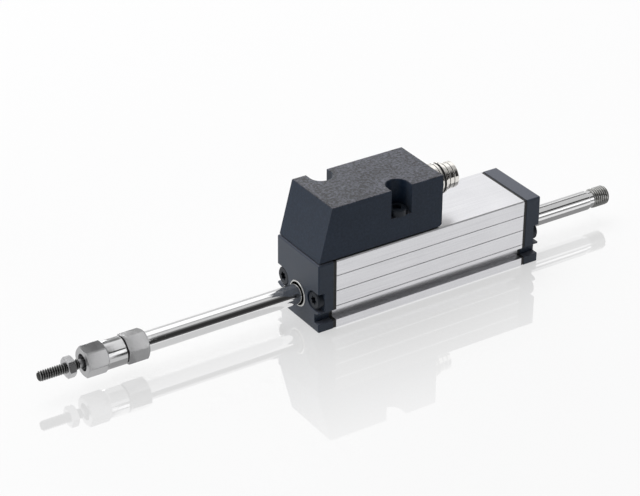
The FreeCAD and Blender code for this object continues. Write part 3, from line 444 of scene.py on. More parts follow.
seal_turn = np.linspace(0, 2 * np.pi, SEAL_STATIONS, endpoint=False)
seal_radius = (ring_high.x - ring_low.x) / 2
seal_line = np.stack([(ring_low.x + ring_high.x) / 2 - seal_radius * np.cos(seal_turn),
                      GROOVE_RADIUS + seal_radius + seal_radius * np.sin(seal_turn)], axis=-1)
carried_round("connector_ring_seal", seal_line, PLUG_AXIS, SEAL_AROUND, "housing", "black_rubber",
              "connector_o_ring", closed=True)

# %% [markdown]
# The flanges, the extrusion and the connector head keep their solids' form. A copy of each gets
# its edges eased by a Bevel modifier, because a thin bright line along every edge is what makes
# an anodised block look machined. The copy's triangles are merged and its flat faces joined first.

# %% Blocks with eased edges
MERGED = 0.002 * MM
FLAT_ANGLE = math.radians(0.6)
EDGE_ANGLE = math.radians(30)
BEVEL_STEPS = 3


def eased_block(name, node, width, slot):
    """A copy of a solid of the housing. Its edges over EDGE_ANGLE are rounded to the width."""
    source = bmesh.new()
    source.from_mesh(nodes[node].data)
    bmesh.ops.remove_doubles(source, verts=source.verts, dist=MERGED)
    bmesh.ops.dissolve_limit(source, angle_limit=FLAT_ANGLE, verts=source.verts,
                             edges=source.edges)
    mesh = bpy.data.meshes.new(name)
    source.to_mesh(mesh)
    source.free()
    if "custom_normal" in mesh.attributes:
        mesh.attributes.remove(mesh.attributes["custom_normal"])
    mesh.polygons.foreach_set("use_smooth", np.ones(len(mesh.polygons), bool))
    mesh.set_sharp_from_angle(angle=EDGE_ANGLE)
    piece = bpy.data.objects.new(name, mesh)
    bpy.context.scene.collection.objects.link(piece)
    bevel = piece.modifiers.new("eased_edges", "BEVEL")
    bevel.width = width
    bevel.segments = BEVEL_STEPS
    bevel.limit_method = "ANGLE"
    bevel.angle_limit = EDGE_ANGLE
    bevel.harden_normals = True
    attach(piece, "housing")
    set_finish(piece, slot)
    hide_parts(node)
    pieces[name] = piece
    print(name, len(mesh.polygons), "faces before its edges are eased")


eased_block("eased_head", "connector_head", 0.16 * MM, "black_cast")
eased_block("eased_profile", "housing_profile", 0.05 * MM, "satin_aluminium")
for end in ("front", "rear"):
    eased_block("eased_%s_flange" % end, end + "_flange", 0.1 * MM, "black_anodised")

# %% [markdown]
# A material is a small calculation on the place of each point. The first class below lets that
# calculation be written as plain arithmetic: each sum or product becomes a Math node. Any other
# node comes from one method of the second class, which also knows what several finishes need.

# %% Shader maths


class Wire:
    """An output socket that can be used in sums and products."""

    def __init__(self, recipe, socket):
        self.recipe = recipe
        self.socket = socket

    def maths(self, operation, first, second):
        """A Math node on two wires or numbers."""
        return self.recipe.node("ShaderNodeMath", {"operation": operation}, {0: first, 1: second})

    def __add__(self, other):
        return self.maths("ADD", self, other)

    def __radd__(self, other):
        return self.maths("ADD", other, self)

    def __sub__(self, other):
        return self.maths("SUBTRACT", self, other)

    def __rsub__(self, other):
        return self.maths("SUBTRACT", other, self)

    def __mul__(self, other):
        return self.maths("MULTIPLY", self, other)

    def __rmul__(self, other):
        return self.maths("MULTIPLY", other, self)


print("wires add, subtract and multiply from either side")

# %% [markdown]
# One recipe holds one material. Patterns read the place in the object's own frame in metres, so
# that the size of a grain is its real size, and stay where they are when a piece moves.

# %% The nodes of one material
# How far a face's normal points up, from 0 to 1, where a face begins to count as looking up and
# where it fully does.
LOOKS_UP = (0.45, 0.9)
finishes = {}


class Recipe:
    """The nodes of one material, with a shortcut for each thing that several finishes need."""

    def __init__(self, name, kind="materials", output="ShaderNodeOutputMaterial"):
        self.material = getattr(bpy.data, kind).new(name)
        self.material.use_nodes = True
        self.tree = self.material.node_tree
        self.tree.nodes.clear()
        self.output = output

    def node(self, kind, settings=None, inputs=None, output=0):
        """Add a node: its settings first, then each input as a number, a colour or a wire."""
        made = self.tree.nodes.new(kind)
        for name, value in (settings or {}).items():
            if name == "stops":
                self.set_stops(made.color_ramp.elements, value)
            else:
                setattr(made, name, value)
        for name, value in (inputs or {}).items():
            if isinstance(value, Wire):
                self.tree.links.new(value.socket, made.inputs[name])
            else:
                made.inputs[name].default_value = value
        return Wire(self, made.outputs[output]) if made.outputs else None

    def set_stops(self, stops, values):
        """Give a colour ramp its stops, each a place from 0 to 1 and a colour."""
        while len(stops) < len(values):
            stops.new(1.0)
        for stop, (place, shade) in zip(stops, values):
            stop.position = place
            stop.color = shade

    def finish_with(self, shader):
        """Link a shader to the output."""
        self.node(self.output, {}, {"Surface": shader})

    def clamped(self, value):
        """The value, kept between 0 and 1."""
        return self.node("ShaderNodeClamp", {}, {"Value": value})

    def place(self, stretch=(1.0, 1.0, 1.0)):
        """The point's place in the object's own frame, stretched before a pattern reads it."""
        spot = self.node("ShaderNodeTexCoord", output="Object")
        return self.node("ShaderNodeMapping", {}, {"Vector": spot, "Scale": stretch})

    def noise(self, size, stretch=(1.0, 1.0, 1.0), detail=2.0, roughness=0.5):
        """Smooth noise from 0 to 1 whose lumps are about the given size across."""
        return self.node("ShaderNodeTexNoise", {}, {"Vector": self.place(stretch),
                                                    "Scale": 1 / size, "Detail": detail,
                                                    "Roughness": roughness})

    def mixed(self, amount, low, high):
        """A colour between two others."""
        ends = [end if isinstance(end, Wire) else (*end, 1.0) for end in (low, high)]
        return self.node("ShaderNodeMix", {"data_type": "RGBA"},
                         {0: amount, 6: ends[0], 7: ends[1]}, output=2)

    def spread(self, value, low, high):
        """Nought up to low, one from high on, and a straight ramp between them."""
        return self.node("ShaderNodeMapRange", {"clamp": True},
                         {"Value": value, "From Min": low, "From Max": high,
                          "To Min": 0.0, "To Max": 1.0})

    def between(self, value, low, high, blur):
        """One from low to high and nought outside, with a ramp at each end as wide as blur."""
        return (self.spread(value, low - blur, low)
                * (1 - self.spread(value, high, high + blur)))

    def split(self, vector):
        """The three parts of a vector."""
        made = self.node("ShaderNodeSeparateXYZ", {}, {"Vector": vector}).socket.node
        return [Wire(self, part) for part in made.outputs]

    def facing_up(self):
        """One where a face looks up and nought where it stands upright or looks down."""
        normal = self.node("ShaderNodeTexCoord", output="Normal")
        return self.spread(self.split(normal)[2], *LOOKS_UP)

    def root(self, value):
        """The square root."""
        return self.node("ShaderNodeMath", {"operation": "SQRT"}, {0: value})

    def bump(self, height, depth):
        """Turn a height from 0 to 1 into a normal, depth metres deep."""
        return self.node("ShaderNodeBump", {},
                         {"Height": height, "Distance": depth, "Strength": 1.0})

    def surface(self, **inputs):
        """The finished surface, which goes on the list of finishes. Its inputs have plain names."""
        names = {"colour": "Base Color", "metal": "Metallic", "roughness": "Roughness",
                 "normal": "Normal", "specular": "Specular IOR Level", "sheen": "Sheen Weight"}
        self.finish_with(self.node("ShaderNodeBsdfPrincipled", {},
                                   {names[name]: value for name, value in inputs.items()}))
        finishes[self.material.name] = self.material
        print(self.material.name, len(self.tree.nodes), "nodes")


print("plain imported materials that make room:", len(bpy.data.materials))
for imported in list(bpy.data.materials):
    bpy.data.materials.remove(imported)

# %% [markdown]
# The extrusion is aluminium with a satin anodised skin. Drawing it through the die leaves faint
# streaks along its length, and the etching before anodising leaves a very fine, even grain.

# %% Satin aluminium
recipe = Recipe("satin_aluminium")
streaks = recipe.noise(0.5 * MM, stretch=(0.02, 1.0, 1.0), detail=4.0, roughness=0.6)
grain = recipe.noise(0.22 * MM, stretch=(0.4, 1.0, 1.0), detail=2.0)
cloud = recipe.noise(14 * MM, detail=2.0)
tone = streaks * 0.45 + cloud * 0.2 + grain * 0.35
colour = recipe.mixed(recipe.spread(tone, 0.35, 0.65), (0.60, 0.60, 0.62), (0.74, 0.74, 0.76))
recipe.surface(colour=colour, metal=1.0, roughness=0.25 + grain * 0.11,
               normal=recipe.bump(streaks * 0.5 + grain * 0.5, 0.010 * MM))

# %% [markdown]
# The flanges are milled and anodised black. Black dye on aluminium is a very dark blue. It never
# gets quite even, and the cutter's path leaves lines so fine that they only soften the gloss.

# %% Black anodising
BLUE_BLACK = (0.003, 0.013, 0.032)
WORN_BLACK = (0.010, 0.024, 0.050)
# Painted top light: the greyer colour that faces looking up get, for the light that they catch.
PAINTED_TOP_LIGHT = (0.122, 0.130, 0.166)

recipe = Recipe("black_anodised")
cloud = recipe.noise(5 * MM, detail=3.0)
grain = recipe.noise(0.3 * MM, detail=2.0)
lines = recipe.noise(0.2 * MM, stretch=(1.0, 0.03, 1.0), detail=2.0)
dye = recipe.mixed(recipe.spread(cloud * 0.4 + grain * 0.6, 0.3, 0.7), BLUE_BLACK, WORN_BLACK)
# Faces that look up are painted lighter and greyer, a painted highlight for the light on the tops.
colour = recipe.mixed(recipe.facing_up() * (0.3 + grain * 0.4), dye, PAINTED_TOP_LIGHT)
recipe.surface(colour=colour, roughness=0.34 + cloud * 0.14, specular=0.28, sheen=0.2,
               normal=recipe.bump(grain * 0.6 + lines * 0.4, 0.02 * MM))

# %% [markdown]
# The connector head has a black coating over a blasted surface. Its grain has two sizes: one
# about as large as a sand grain, and a finer one on it. What looks up is painted greyer than what
# stands upright, with the tips of its grains lightest: a painted highlight for the light that the
# tops catch. The face's own normal, in the object's frame, says which way it looks, so the grey
# stays where it is when the camera moves.

# %% Sandy black coating
# The tops' darkest colour, greyer than the upright faces' as part of the painted top light.
TOP_BLACK = (0.014, 0.014, 0.018)

recipe = Recipe("black_cast")
sand = recipe.noise(0.75 * MM, detail=4.0, roughness=0.7)
fine = recipe.noise(0.3 * MM, detail=2.0)
cloud = recipe.noise(7 * MM, detail=3.0)
tips = recipe.spread(sand * 0.8 + cloud * 0.2, 0.42, 0.64)
upright = recipe.mixed(tips, BLUE_BLACK, WORN_BLACK)
# Upward faces get the painted top light, lightest on the grain's tips.
colour = recipe.mixed(recipe.facing_up(), upright, recipe.mixed(tips, TOP_BLACK, PAINTED_TOP_LIGHT))
recipe.surface(colour=colour, roughness=0.32 + sand * 0.2, specular=0.18, sheen=0.15,
               normal=recipe.bump(sand * 0.6 + fine * 0.4, 0.05 * MM))

# %% [markdown]
# Steel shows several finishes here. The rod is ground and polished round its axis, the coupling
# is turned and milled, and the stud and its nut are dull from heat treatment. The grooves of a
# thread are painted darker towards their roots, and the inside of a bush's mouth is painted dark
# as painted shade.

# %% Steel finishes
# Dark for hollows: painted shade in the bush's mouth and fine grooves, and darker thread roots.
HOLLOW_DARK = (0.035, 0.036, 0.032)
THREAD_GREY = (0.20, 0.20, 0.178)
TURNED_BRIGHT = (0.52, 0.52, 0.525)
RIM_BLUR = 0.05 * MM


def steel(name, dark, bright, roughness, spread, ring_depth, groove=None, hollow_colour=HOLLOW_DARK,
          bright_run=None):
    """Steel that was worked round the rod's axis: fine rings, and slow changes of tone. The
    groove is the radius up to which it is dark, the one from which it is bright, and the x where
    it starts and ends. The bright run is a stretch of x that is polished."""
    recipe = Recipe(name)
    rings = recipe.noise(0.09 * MM, stretch=(1.0, 0.02, 0.02), detail=2.0)
    cloud = recipe.noise(3.5 * MM, detail=2.0)
    rough = roughness + cloud * spread
    colour = recipe.mixed(rings * 0.5 + cloud * 0.5, dark, bright)
    if groove:
        low, high, first, last = groove
        x, y, z = recipe.split(recipe.place())
        height = z - ROD_AXIS
        radius = recipe.root(y * y + height * height)
        # Darker towards the axis: painted shade inside the bush's mouth, and darker roots of threads.
        darkened = (1 - recipe.spread(radius, low, high)) * recipe.between(x, first, last, RIM_BLUR)
        colour = recipe.mixed(darkened, colour, hollow_colour)
        rough = rough + darkened * 0.3
    if bright_run:
        turned = recipe.between(recipe.split(recipe.place())[0], *bright_run, RIM_BLUR)
        colour = recipe.mixed(turned, colour, TURNED_BRIGHT)
        rough = rough - turned * 0.10
    recipe.surface(colour=colour, metal=1.0, roughness=rough,
                   normal=recipe.bump(rings, ring_depth))


# A thread is darker a little past its crest; the bush's mouth is painted shade, bright outside.
CREST_DARK = 0.25 * MM
BUSH_MOUTH = 3.57 * MM
MOUTH_RIM = 0.02 * MM
HALF_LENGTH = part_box("rear_bush")[1].x

steel("ground_steel", (0.72, 0.72, 0.73), (0.82, 0.82, 0.82), 0.06, 0.05, 0.0006 * MM,
      groove=(ROD_RADIUS - THREAD_DEPTH * REAR_PITCH, ROD_RADIUS + CREST_DARK, relief_end,
              rod_high.x), hollow_colour=THREAD_GREY)
steel("coupling_steel", (0.33, 0.33, 0.335), (0.41, 0.41, 0.415), 0.18, 0.08, 0.003 * MM,
      bright_run=(SOCKET_HEX_END, socket_high.x))
steel("stud_steel", (0.38, 0.38, 0.385), (0.48, 0.48, 0.485), 0.22, 0.12, 0.003 * MM,
      groove=(STUD_RADIUS - THREAD_DEPTH * STUD_PITCH, STUD_RADIUS + CREST_DARK,
              stud_low.x - MM, NECK_END))
steel("bush_steel", (0.46, 0.46, 0.45), (0.57, 0.57, 0.56), 0.18, 0.06, 0.002 * MM,
      groove=(BUSH_MOUTH - MOUTH_RIM, BUSH_MOUTH + MOUTH_RIM, -HALF_LENGTH, HALF_LENGTH))
steel("spring_steel", (0.38, 0.38, 0.40), (0.50, 0.50, 0.52), 0.22, 0.10, 0.002 * MM)

# %% [markdown]
# The screws have a black oxide, thin and slightly glossy. It hardly looks like metal any more.

# %% Black screws
recipe = Recipe("black_screw")
cloud = recipe.noise(0.8 * MM, detail=3.0)
recipe.surface(colour=recipe.mixed(cloud, (0.007, 0.010, 0.016), (0.020, 0.025, 0.034)),
               metal=0.15, roughness=0.32 + cloud * 0.18, specular=0.22,
               normal=recipe.bump(cloud, 0.004 * MM))

# %% [markdown]
# Nickel plating is smooth and a little warm. It mirrors the room, so it needs a faint unevenness,
# and painted shade: a dark line at the bottom of each fine groove. Gold, the contacts' alloy and
# the silver of the collector track are plated in the same way.

# %% Nickel, gold and silver


def plated(name, low, high, roughness, lines=()):
    """A plated metal. The lines are places along x where a groove's bottom is painted shade."""
    recipe = Recipe(name)
    cloud = recipe.noise(1.6 * MM, detail=2.0)
    rings = recipe.noise(0.12 * MM, stretch=(1.0, 0.05, 0.05), detail=1.0)
    colour = recipe.mixed(cloud, low, high)
    if lines:
        x = recipe.split(recipe.place())[0]
    for place in lines:
        # Painted shade: a dark line at the bottom of each fine groove.
        bottom = recipe.node("ShaderNodeMath", {"operation": "COMPARE"},
                             {0: x, 1: place, 2: FINE_GROOVE / 2})
        colour = recipe.mixed(bottom, colour, HOLLOW_DARK)
    recipe.surface(colour=colour, metal=1.0, roughness=roughness + cloud * 0.06,
                   normal=recipe.bump(rings, 0.001 * MM))


plated("nickel", (0.72, 0.70, 0.66), (0.80, 0.78, 0.75), 0.07,
       lines=(collar_groove, *barrel_grooves))
plated("gold_pin", (0.83, 0.62, 0.24), (0.90, 0.72, 0.33), 0.18)
plated("contact_alloy", (0.72, 0.58, 0.30), (0.80, 0.67, 0.38), 0.24)
plated("silver_track", (0.66, 0.65, 0.61), (0.74, 0.73, 0.69), 0.34)

# %% [markdown]
# Rubber, moulded plastic, laminate and wire sheath are all matt and coloured in the mass. They
# differ in tone, in how rough they are and in the size of their grain.

# %% Rubber and plastics


def matt(name, low, high, roughness, grain_size, depth, stretch=(1.0, 1.0, 1.0)):
    """A matt surface with an even grain, whose size and depth are in metres."""
    recipe = Recipe(name)
    grain = recipe.noise(grain_size, stretch=stretch, detail=2.0)
    recipe.surface(colour=recipe.mixed(grain, low, high), roughness=roughness + grain * 0.12,
                   normal=recipe.bump(grain, depth))


matt("black_rubber", (0.008, 0.008, 0.008), (0.022, 0.022, 0.023), 0.62, 0.25 * MM, 0.008 * MM)
matt("carriage_plastic", (0.030, 0.030, 0.032), (0.055, 0.055, 0.058), 0.45, 0.3 * MM, 0.006 * MM)
matt("insert_plastic", (0.015, 0.015, 0.016), (0.035, 0.035, 0.036), 0.42, 0.3 * MM, 0.004 * MM)
matt("board_laminate", (0.035, 0.12, 0.06), (0.06, 0.18, 0.095), 0.40, 0.5 * MM, 0.008 * MM)
matt("carbon_track", (0.012, 0.012, 0.013), (0.03, 0.03, 0.032), 0.36, 0.4 * MM, 0.003 * MM,
     stretch=(0.05, 1.0, 1.0))
matt("wire_sheath", (0.24, 0.03, 0.028), (0.33, 0.05, 0.045), 0.42, 0.4 * MM, 0.004 * MM)

# %% [markdown]
# Each piece and each solid names its slot in the record, and the finish of the same name is put
# on it. So nothing is left in the plain grey of an import.

# %% Dress everything
for part in frame["record"]["subparts"]:
    data = nodes[part["node"]].data
    data.materials.clear()
    data.materials.append(finishes[part["material_slot"]])
for piece in pieces.values():
    piece.data.materials.append(finishes[piece["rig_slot"]])
print(len(finishes), "finishes on", len(nodes), "solids and", len(pieces), "new pieces")

# %% [markdown]
# The floor is a glossy white board. To the camera and to the metal it looks white, as a lit board
# does, and it keeps the object's shadow and a faint mirror image, which fades away to both sides.

# %% Floor
FLOOR_SIZE = 8.0
WHITE = (1.0, 1.0, 1.0, 1.0)
BOARD_WHITE = (0.88, 0.88, 0.885, 1.0)
# How much of the board is glow to the camera and to gloss, and how much is mirror at most.
GLOW_SHARE = 0.78
GLOSS_GLOW_SHARE = 0.85
MIRROR_SHARE = 0.25
MIRROR_FADE = (12 * MM, 75 * MM)


def ray(recipe, kind):
    """One for a ray of the kind and nought for any other. A Singular ray is one that a perfect
    mirror sent. Only the floor is one, so this tells what its image is to leave out: every metal
    here is a little rough."""
    return recipe.node("ShaderNodeLightPath", output="Is %s Ray" % kind)


def floor_material():
    """A board whose mirror shows to the camera only. Things that mirror the board see it nearly
    white."""
    recipe = Recipe("white_board")
    camera = ray(recipe, "Camera")
    clear = ray(recipe, "Glossy") + ray(recipe, "Transmission")
    board = recipe.node("ShaderNodeBsdfDiffuse", {}, {"Color": BOARD_WHITE})
    glow = recipe.node("ShaderNodeEmission", {}, {"Color": WHITE, "Strength": 1.0})
    seen = recipe.clamped(camera * GLOW_SHARE + clear * GLOSS_GLOW_SHARE)
    lit = recipe.node("ShaderNodeMixShader", {}, {0: seen, 1: board, 2: glow})
    mirror = recipe.node("ShaderNodeBsdfGlossy", {}, {"Color": WHITE, "Roughness": 0.0})
    y = recipe.split(recipe.node("ShaderNodeTexCoord", output="Object"))[1]
    aside = recipe.node("ShaderNodeMath", {"operation": "ABSOLUTE"}, {0: y})
    share = camera * (1 - recipe.spread(aside, *MIRROR_FADE)) * MIRROR_SHARE
    recipe.finish_with(recipe.node("ShaderNodeMixShader", {}, {0: share, 1: lit, 2: mirror}))
    return recipe.material


def studio_sheet(name, points, faces, material, seen_by_camera=True):
    """A sheet that belongs to the studio and not to the object."""
    mesh = bpy.data.meshes.new(name)
    mesh.from_pydata(np.asarray(points).tolist(), [], np.asarray(faces).tolist())
    mesh.materials.append(material)
    sheet = bpy.data.objects.new(name, mesh)
    sheet.visible_camera = seen_by_camera
    bpy.context.scene.collection.objects.link(sheet)
    return sheet


half = FLOOR_SIZE / 2
studio_sheet("floor", [(-half, -half, 0), (half, -half, 0), (half, half, 0), (-half, half, 0)],
             [(0, 1, 2, 3)], floor_material())
print("floor:", FLOOR_SIZE, "m square")

# %% [markdown]
# Polished metal shows the studio more than itself. So the object lies in a long tunnel of cloth,
# as small shiny things often do in a studio. The cloth is bright high on the far side, grey
# overhead, and dark low on the near side. What gloss sees there is dark only where a black flag
# hangs: the rod mirrors all that as a white band, a grey line and a dark band, and from other
# sides the metal stays light.

# %% Light tunnel
TUNNEL_RADIUS = 1.5
TUNNEL_LENGTH = 6.0
TUNNEL_LIGHT = 1.4
TUNNEL_STATIONS = 65
# Each stop is an angle in degrees, from low behind the camera over the top to the far side, and
# how much of the tunnel's light the cloth gives there.
TUNNEL_STOPS = [(0, 0.02), (40, 0.03), (52, 0.16), (70, 0.42), (88, 0.40), (100, 0.65),
                (110, 0.95), (138, 0.95), (152, 0.72), (180, 0.50)]
# The least light of the cloth that gloss sees beside the flag, where along x the flag hangs, and
# the width of its soft edge.
NEAR_GREY = (0.42, 0.42, 0.42, 1.0)
FLAG_REACH = (0.34, 1.26)
FLAG_EDGE = 0.08


def tunnel_material():
    """Cloth whose light depends on the angle round x, which is the arc tangent of z and -y."""
    recipe = Recipe("tunnel_cloth")
    x, y, z = recipe.split(recipe.node("ShaderNodeTexCoord", output="Object"))
    turned = recipe.node("ShaderNodeMath", {"operation": "ARCTAN2"}, {0: z, 1: 0.0 - y})
    stops = [(angle / 180, (share, share, share, 1.0)) for angle, share in TUNNEL_STOPS]
    cloth = recipe.node("ShaderNodeValToRGB", {"stops": stops}, {"Fac": turned * (1 / math.pi)})
    lighter = recipe.node("ShaderNodeMix", {"data_type": "RGBA", "blend_type": "LIGHTEN"},
                          {0: 1.0, 6: cloth, 7: NEAR_GREY}, output=2)
    flag = recipe.between(x, *FLAG_REACH, FLAG_EDGE)
    shade = recipe.mixed(ray(recipe, "Glossy") * (1 - flag), cloth, lighter)
    glow = recipe.node("ShaderNodeEmission", {}, {"Color": shade, "Strength": TUNNEL_LIGHT})
    clear = recipe.node("ShaderNodeBsdfTransparent")
    recipe.finish_with(recipe.node("ShaderNodeMixShader", {},
                                   {0: ray(recipe, "Singular"), 1: glow, 2: clear}))
    return recipe.material


def carried_along(radius, height, angles, count, reach):
    """Points and quads of part of a cylinder along x: y is the radius times the cosine of the
    angle, and z the height plus the radius times its sine. The quad that would join the arc's
    two ends is left out."""
    turn = np.radians(np.linspace(*angles, count))
    arc = np.stack([0 * turn, radius * np.cos(turn), height + radius * np.sin(turn)], axis=-1)
    ends = np.array([[[place, 0, 0]] for place in reach])
    faces = grid_quads(np.arange(2 * count).reshape(2, count), False)[:-1]
    return (arc + ends).reshape(-1, 3), faces


arch, arch_faces = carried_along(TUNNEL_RADIUS, 0.0, (0, 180), TUNNEL_STATIONS,
                                 (-TUNNEL_LENGTH / 2, TUNNEL_LENGTH / 2))
studio_sheet("light_tunnel", arch, arch_faces, tunnel_material(), seen_by_camera=False)
print("tunnel:", len(arch_faces), "strips of cloth")

# %% [markdown]
# Small cards close to a shiny part are an old trick of product photographers: the part mirrors a
# white card and looks bright where it would be black, and a dark card does the opposite. These
# stand round the rod, for the coupling, the rod's front half and its rear end. They show in gloss
# only, only from the inside and only over the distance from there to the card, and never in the
# floor's mirror.

# %% Where the cards stand
CARD_RADIUS = 53 * MM
CARD_STATIONS = 9
# A card shows only to rays whose length lies between two limits. They are the lengths of the rays
# from a milled flat that faces the card, from the coupling or the rod, from the rod's rear end,
# and from what lies close over the floor.
FLAT_SIGHT = (51.5 * MM, 54.1 * MM)
COUPLING_SIGHT = (51.5 * MM, 60 * MM)
REAR_SIGHT = (58 * MM, 68 * MM)
FLOOR_SIGHT = (0.0, 56 * MM)
# Where along x each part's cards stand. They are ahead of the part, because the rod mirrors
# towards its rear.
SOCKET_REACH = (-90 * MM, -80.5 * MM)
BARREL_REACH = (-80 * MM, -74.2 * MM)
NUT_REACH = (-73.8 * MM, -67.8 * MM)
ROD_REACH = (-67.8 * MM, -10 * MM)
REAR_REACH = (70 * MM, 112 * MM)
# Each card: its angles round the rod in degrees from the far side over the top, its reach in x,
# its sight, its light.
CURVED_CARDS = [("socket_dark_card", (26, 56), SOCKET_REACH, COUPLING_SIGHT, 0.17),
                ("socket_card", (146, 179), SOCKET_REACH, FLAT_SIGHT, 1.7),
                ("barrel_edge_card", (-8, 32), BARREL_REACH, COUPLING_SIGHT, 0.55),
                ("barrel_line_card", (32, 58), BARREL_REACH, COUPLING_SIGHT, 0.34),
                ("barrel_high_card", (59, 136), BARREL_REACH, COUPLING_SIGHT, 1.3),
                ("barrel_low_card", (146, 169), BARREL_REACH, COUPLING_SIGHT, 2.1),
                ("barrel_dark_card", (170, 188), BARREL_REACH, COUPLING_SIGHT, 0.05),
                ("nut_edge_card", (-8, 34), NUT_REACH, COUPLING_SIGHT, 0.6),
                ("nut_card", (100, 150), NUT_REACH, FLAT_SIGHT, 2.45),
                ("rod_edge_card", (3, 40), ROD_REACH, COUPLING_SIGHT, 0.72),
                ("rod_white_card", (45, 88), ROD_REACH, COUPLING_SIGHT, 1.35),
                ("rod_line_card", (89, 99), ROD_REACH, COUPLING_SIGHT, 0.48),
                ("rod_grey_card", (99, 122), ROD_REACH, COUPLING_SIGHT, 0.74),
                ("rod_dark_card", (172, 186), ROD_REACH, COUPLING_SIGHT, 0.1),
                ("rear_edge_card", (4, 44), REAR_REACH, REAR_SIGHT, 0.7),
                ("rear_top_card", (52, 75), REAR_REACH, REAR_SIGHT, 0.28),
                ("rear_high_card", (77, 121), REAR_REACH, REAR_SIGHT, 0.68),
                ("rear_dark_card", (122, 137), REAR_REACH, REAR_SIGHT, 0.05),
                ("rear_middle_card", (137, 147), REAR_REACH, REAR_SIGHT, 0.5),
                ("rear_low_card", (148, 170), REAR_REACH, REAR_SIGHT, 1.4),
                ("rear_grey_card", (176, 188), REAR_REACH, REAR_SIGHT, 0.38)]
# Each card on the floor: its reach in x and in y, its light.
FLOOR_CARDS = [("barrel_floor_card", (-99.5 * MM, -91 * MM), (-12.5 * MM, 1 * MM), 0.5),
               ("nut_floor_card", (-90.9 * MM, -86.1 * MM), (-14 * MM, 2 * MM), 0.68),
               ("rod_floor_card", (-86 * MM, -42 * MM), (-30 * MM, 8 * MM), 0.75),
               ("rear_floor_card", (42 * MM, 92 * MM), (-14 * MM, 3 * MM), 0.32)]
FLOOR_CARD_LIFT = 0.1 * MM
print(len(CURVED_CARDS), "cards round the rod and", len(FLOOR_CARDS), "on the floor")

# %% [markdown]
# A card is a glowing sheet that is clear to every ray but those it is meant for. Its back faces
# the rod, and the distance to it tells the rays of its own part from those of any other.

# %% Cards


def gloss_card(name, points, faces, sight, light):
    """A sheet that only gloss can see, only from its back, and only over a distance within its
    sight."""
    recipe = Recipe(name)
    clear = recipe.node("ShaderNodeBsdfTransparent")
    glow = recipe.node("ShaderNodeEmission", {}, {"Color": WHITE, "Strength": light})
    length = recipe.node("ShaderNodeLightPath", output="Ray Length")
    near = recipe.node("ShaderNodeMath", {"operation": "COMPARE"},
                       {0: length, 1: (sight[0] + sight[1]) / 2, 2: (sight[1] - sight[0]) / 2})
    inside = recipe.node("ShaderNodeNewGeometry", output="Backfacing")
    shown = near * inside * (1 - ray(recipe, "Singular"))
    recipe.finish_with(recipe.node("ShaderNodeMixShader", {}, {0: shown, 1: clear, 2: glow}))
    sheet = studio_sheet(name, points, faces, recipe.material, seen_by_camera=False)
    for kind in ("diffuse", "transmission", "shadow", "volume_scatter"):
        setattr(sheet, "visible_" + kind, False)


for name, angles, reach, sight, light in CURVED_CARDS:
    points, faces = carried_along(CARD_RADIUS, ROD_AXIS, angles, CARD_STATIONS, reach)
    gloss_card(name, points, faces, sight, light)
for name, (first, last), (near, far), light in FLOOR_CARDS:
    corners = [(first, near), (first, far), (last, far), (last, near)]
    gloss_card(name, [(x, y, FLOOR_CARD_LIFT) for x, y in corners], [(0, 1, 2, 3)], FLOOR_SIGHT,
               light)

# %% [markdown]
# One soft lamp hangs high on the far side and gives the shadows a direction. A weak one stands
# low on the far side: it only grazes the tops, and so it brings out the sandy grain of the black
# coating. The world is white where it is seen, and a little darker as a light.

# %% Lamps and world
WORLD_LIGHT = 0.8


def area_lamp(name, place, size, power, in_gloss):
    """A square lamp that looks at the object's middle and is never seen itself."""
    lamp = bpy.data.lights.new(name, "AREA")
    lamp.size = size
    lamp.energy = power
    holder = bpy.data.objects.new(name, lamp)
    holder.location = place
    holder.rotation_euler = (-Vector(place)).to_track_quat("-Z", "Y").to_euler()
    holder.visible_camera = False
    holder.visible_glossy = in_gloss
    bpy.context.scene.collection.objects.link(holder)
    print(name, power, "W,", round(Vector(place).length, 2), "m away")


area_lamp("soft_lamp", (-0.15, 0.55, 1.25), size=0.9, power=5.0, in_gloss=False)
area_lamp("grazing_lamp", (0.44, 1.08, 0.24), size=0.3, power=2.0, in_gloss=True)


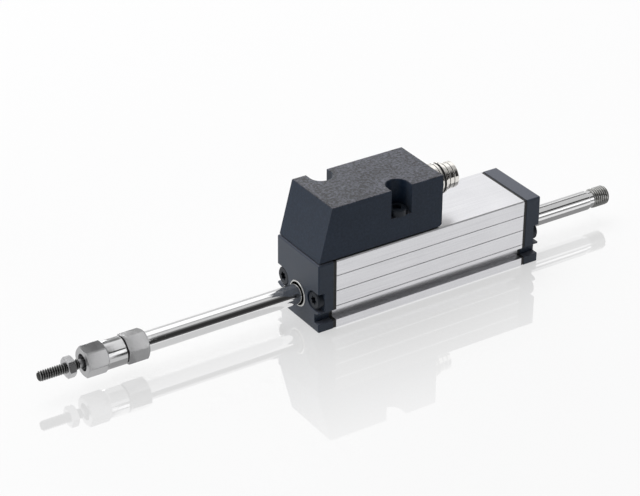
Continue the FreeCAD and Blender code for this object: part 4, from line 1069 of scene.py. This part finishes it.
def studio_world():
    """White for rays from the camera, gloss and glass, and WORLD_LIGHT for light on things."""
    recipe = Recipe("studio", kind="worlds", output="ShaderNodeOutputWorld")
    seen = recipe.clamped(ray(recipe, "Camera") + ray(recipe, "Glossy")
                          + ray(recipe, "Transmission"))
    recipe.finish_with(recipe.node("ShaderNodeBackground", {}, {
        "Color": WHITE, "Strength": WORLD_LIGHT + seen * (1 - WORLD_LIGHT)}))
    return recipe.material


bpy.context.scene.world = studio_world()

# %% [markdown]
# The camera stands where the photograph was taken from: in front, to the near side and about 30
# degrees above, with a long lens. Its place was found by fitting the housing's straight edges.

# %% Camera
CAMERA_PLACE = (-0.3345, -0.4673, 0.3364)
CAMERA_AZIMUTH = math.radians(56.947)
CAMERA_DROP = math.radians(29.499)
CAMERA_ROLL = math.radians(0.385)
FOCAL_PIXELS = 2250.7
IMAGE_WIDTH, IMAGE_HEIGHT = 640, 496
IMAGE_CENTRE = (323.25, 245.55)
SENSOR = 36.0
CLIP = (0.01, 20.0)

lens = bpy.data.cameras.new("camera")
lens.sensor_width = SENSOR
lens.lens = FOCAL_PIXELS * SENSOR / IMAGE_WIDTH
lens.shift_x = (IMAGE_WIDTH / 2 - IMAGE_CENTRE[0]) / IMAGE_WIDTH
lens.shift_y = (IMAGE_CENTRE[1] - IMAGE_HEIGHT / 2) / IMAGE_WIDTH
lens.clip_start, lens.clip_end = CLIP
camera = bpy.data.objects.new("camera", lens)
camera.location = CAMERA_PLACE
ahead = np.array([math.cos(CAMERA_AZIMUTH) * math.cos(CAMERA_DROP),
                  math.sin(CAMERA_AZIMUTH) * math.cos(CAMERA_DROP), -math.sin(CAMERA_DROP)])
level = np.cross(ahead, [0, 0, 1])
level /= np.linalg.norm(level)
upright = np.cross(level, ahead)
right = level * math.cos(CAMERA_ROLL) + upright * math.sin(CAMERA_ROLL)
axes = np.stack([right, np.cross(right, ahead), -ahead], axis=-1)
camera.rotation_euler = Matrix(axes.tolist()).to_euler()
bpy.context.scene.collection.objects.link(camera)
bpy.context.scene.camera = camera
bpy.context.scene.view_settings.view_transform = "Standard"
print("camera:", round(lens.lens, 1), "mm lens,", round(camera.location.length, 2), "m away")
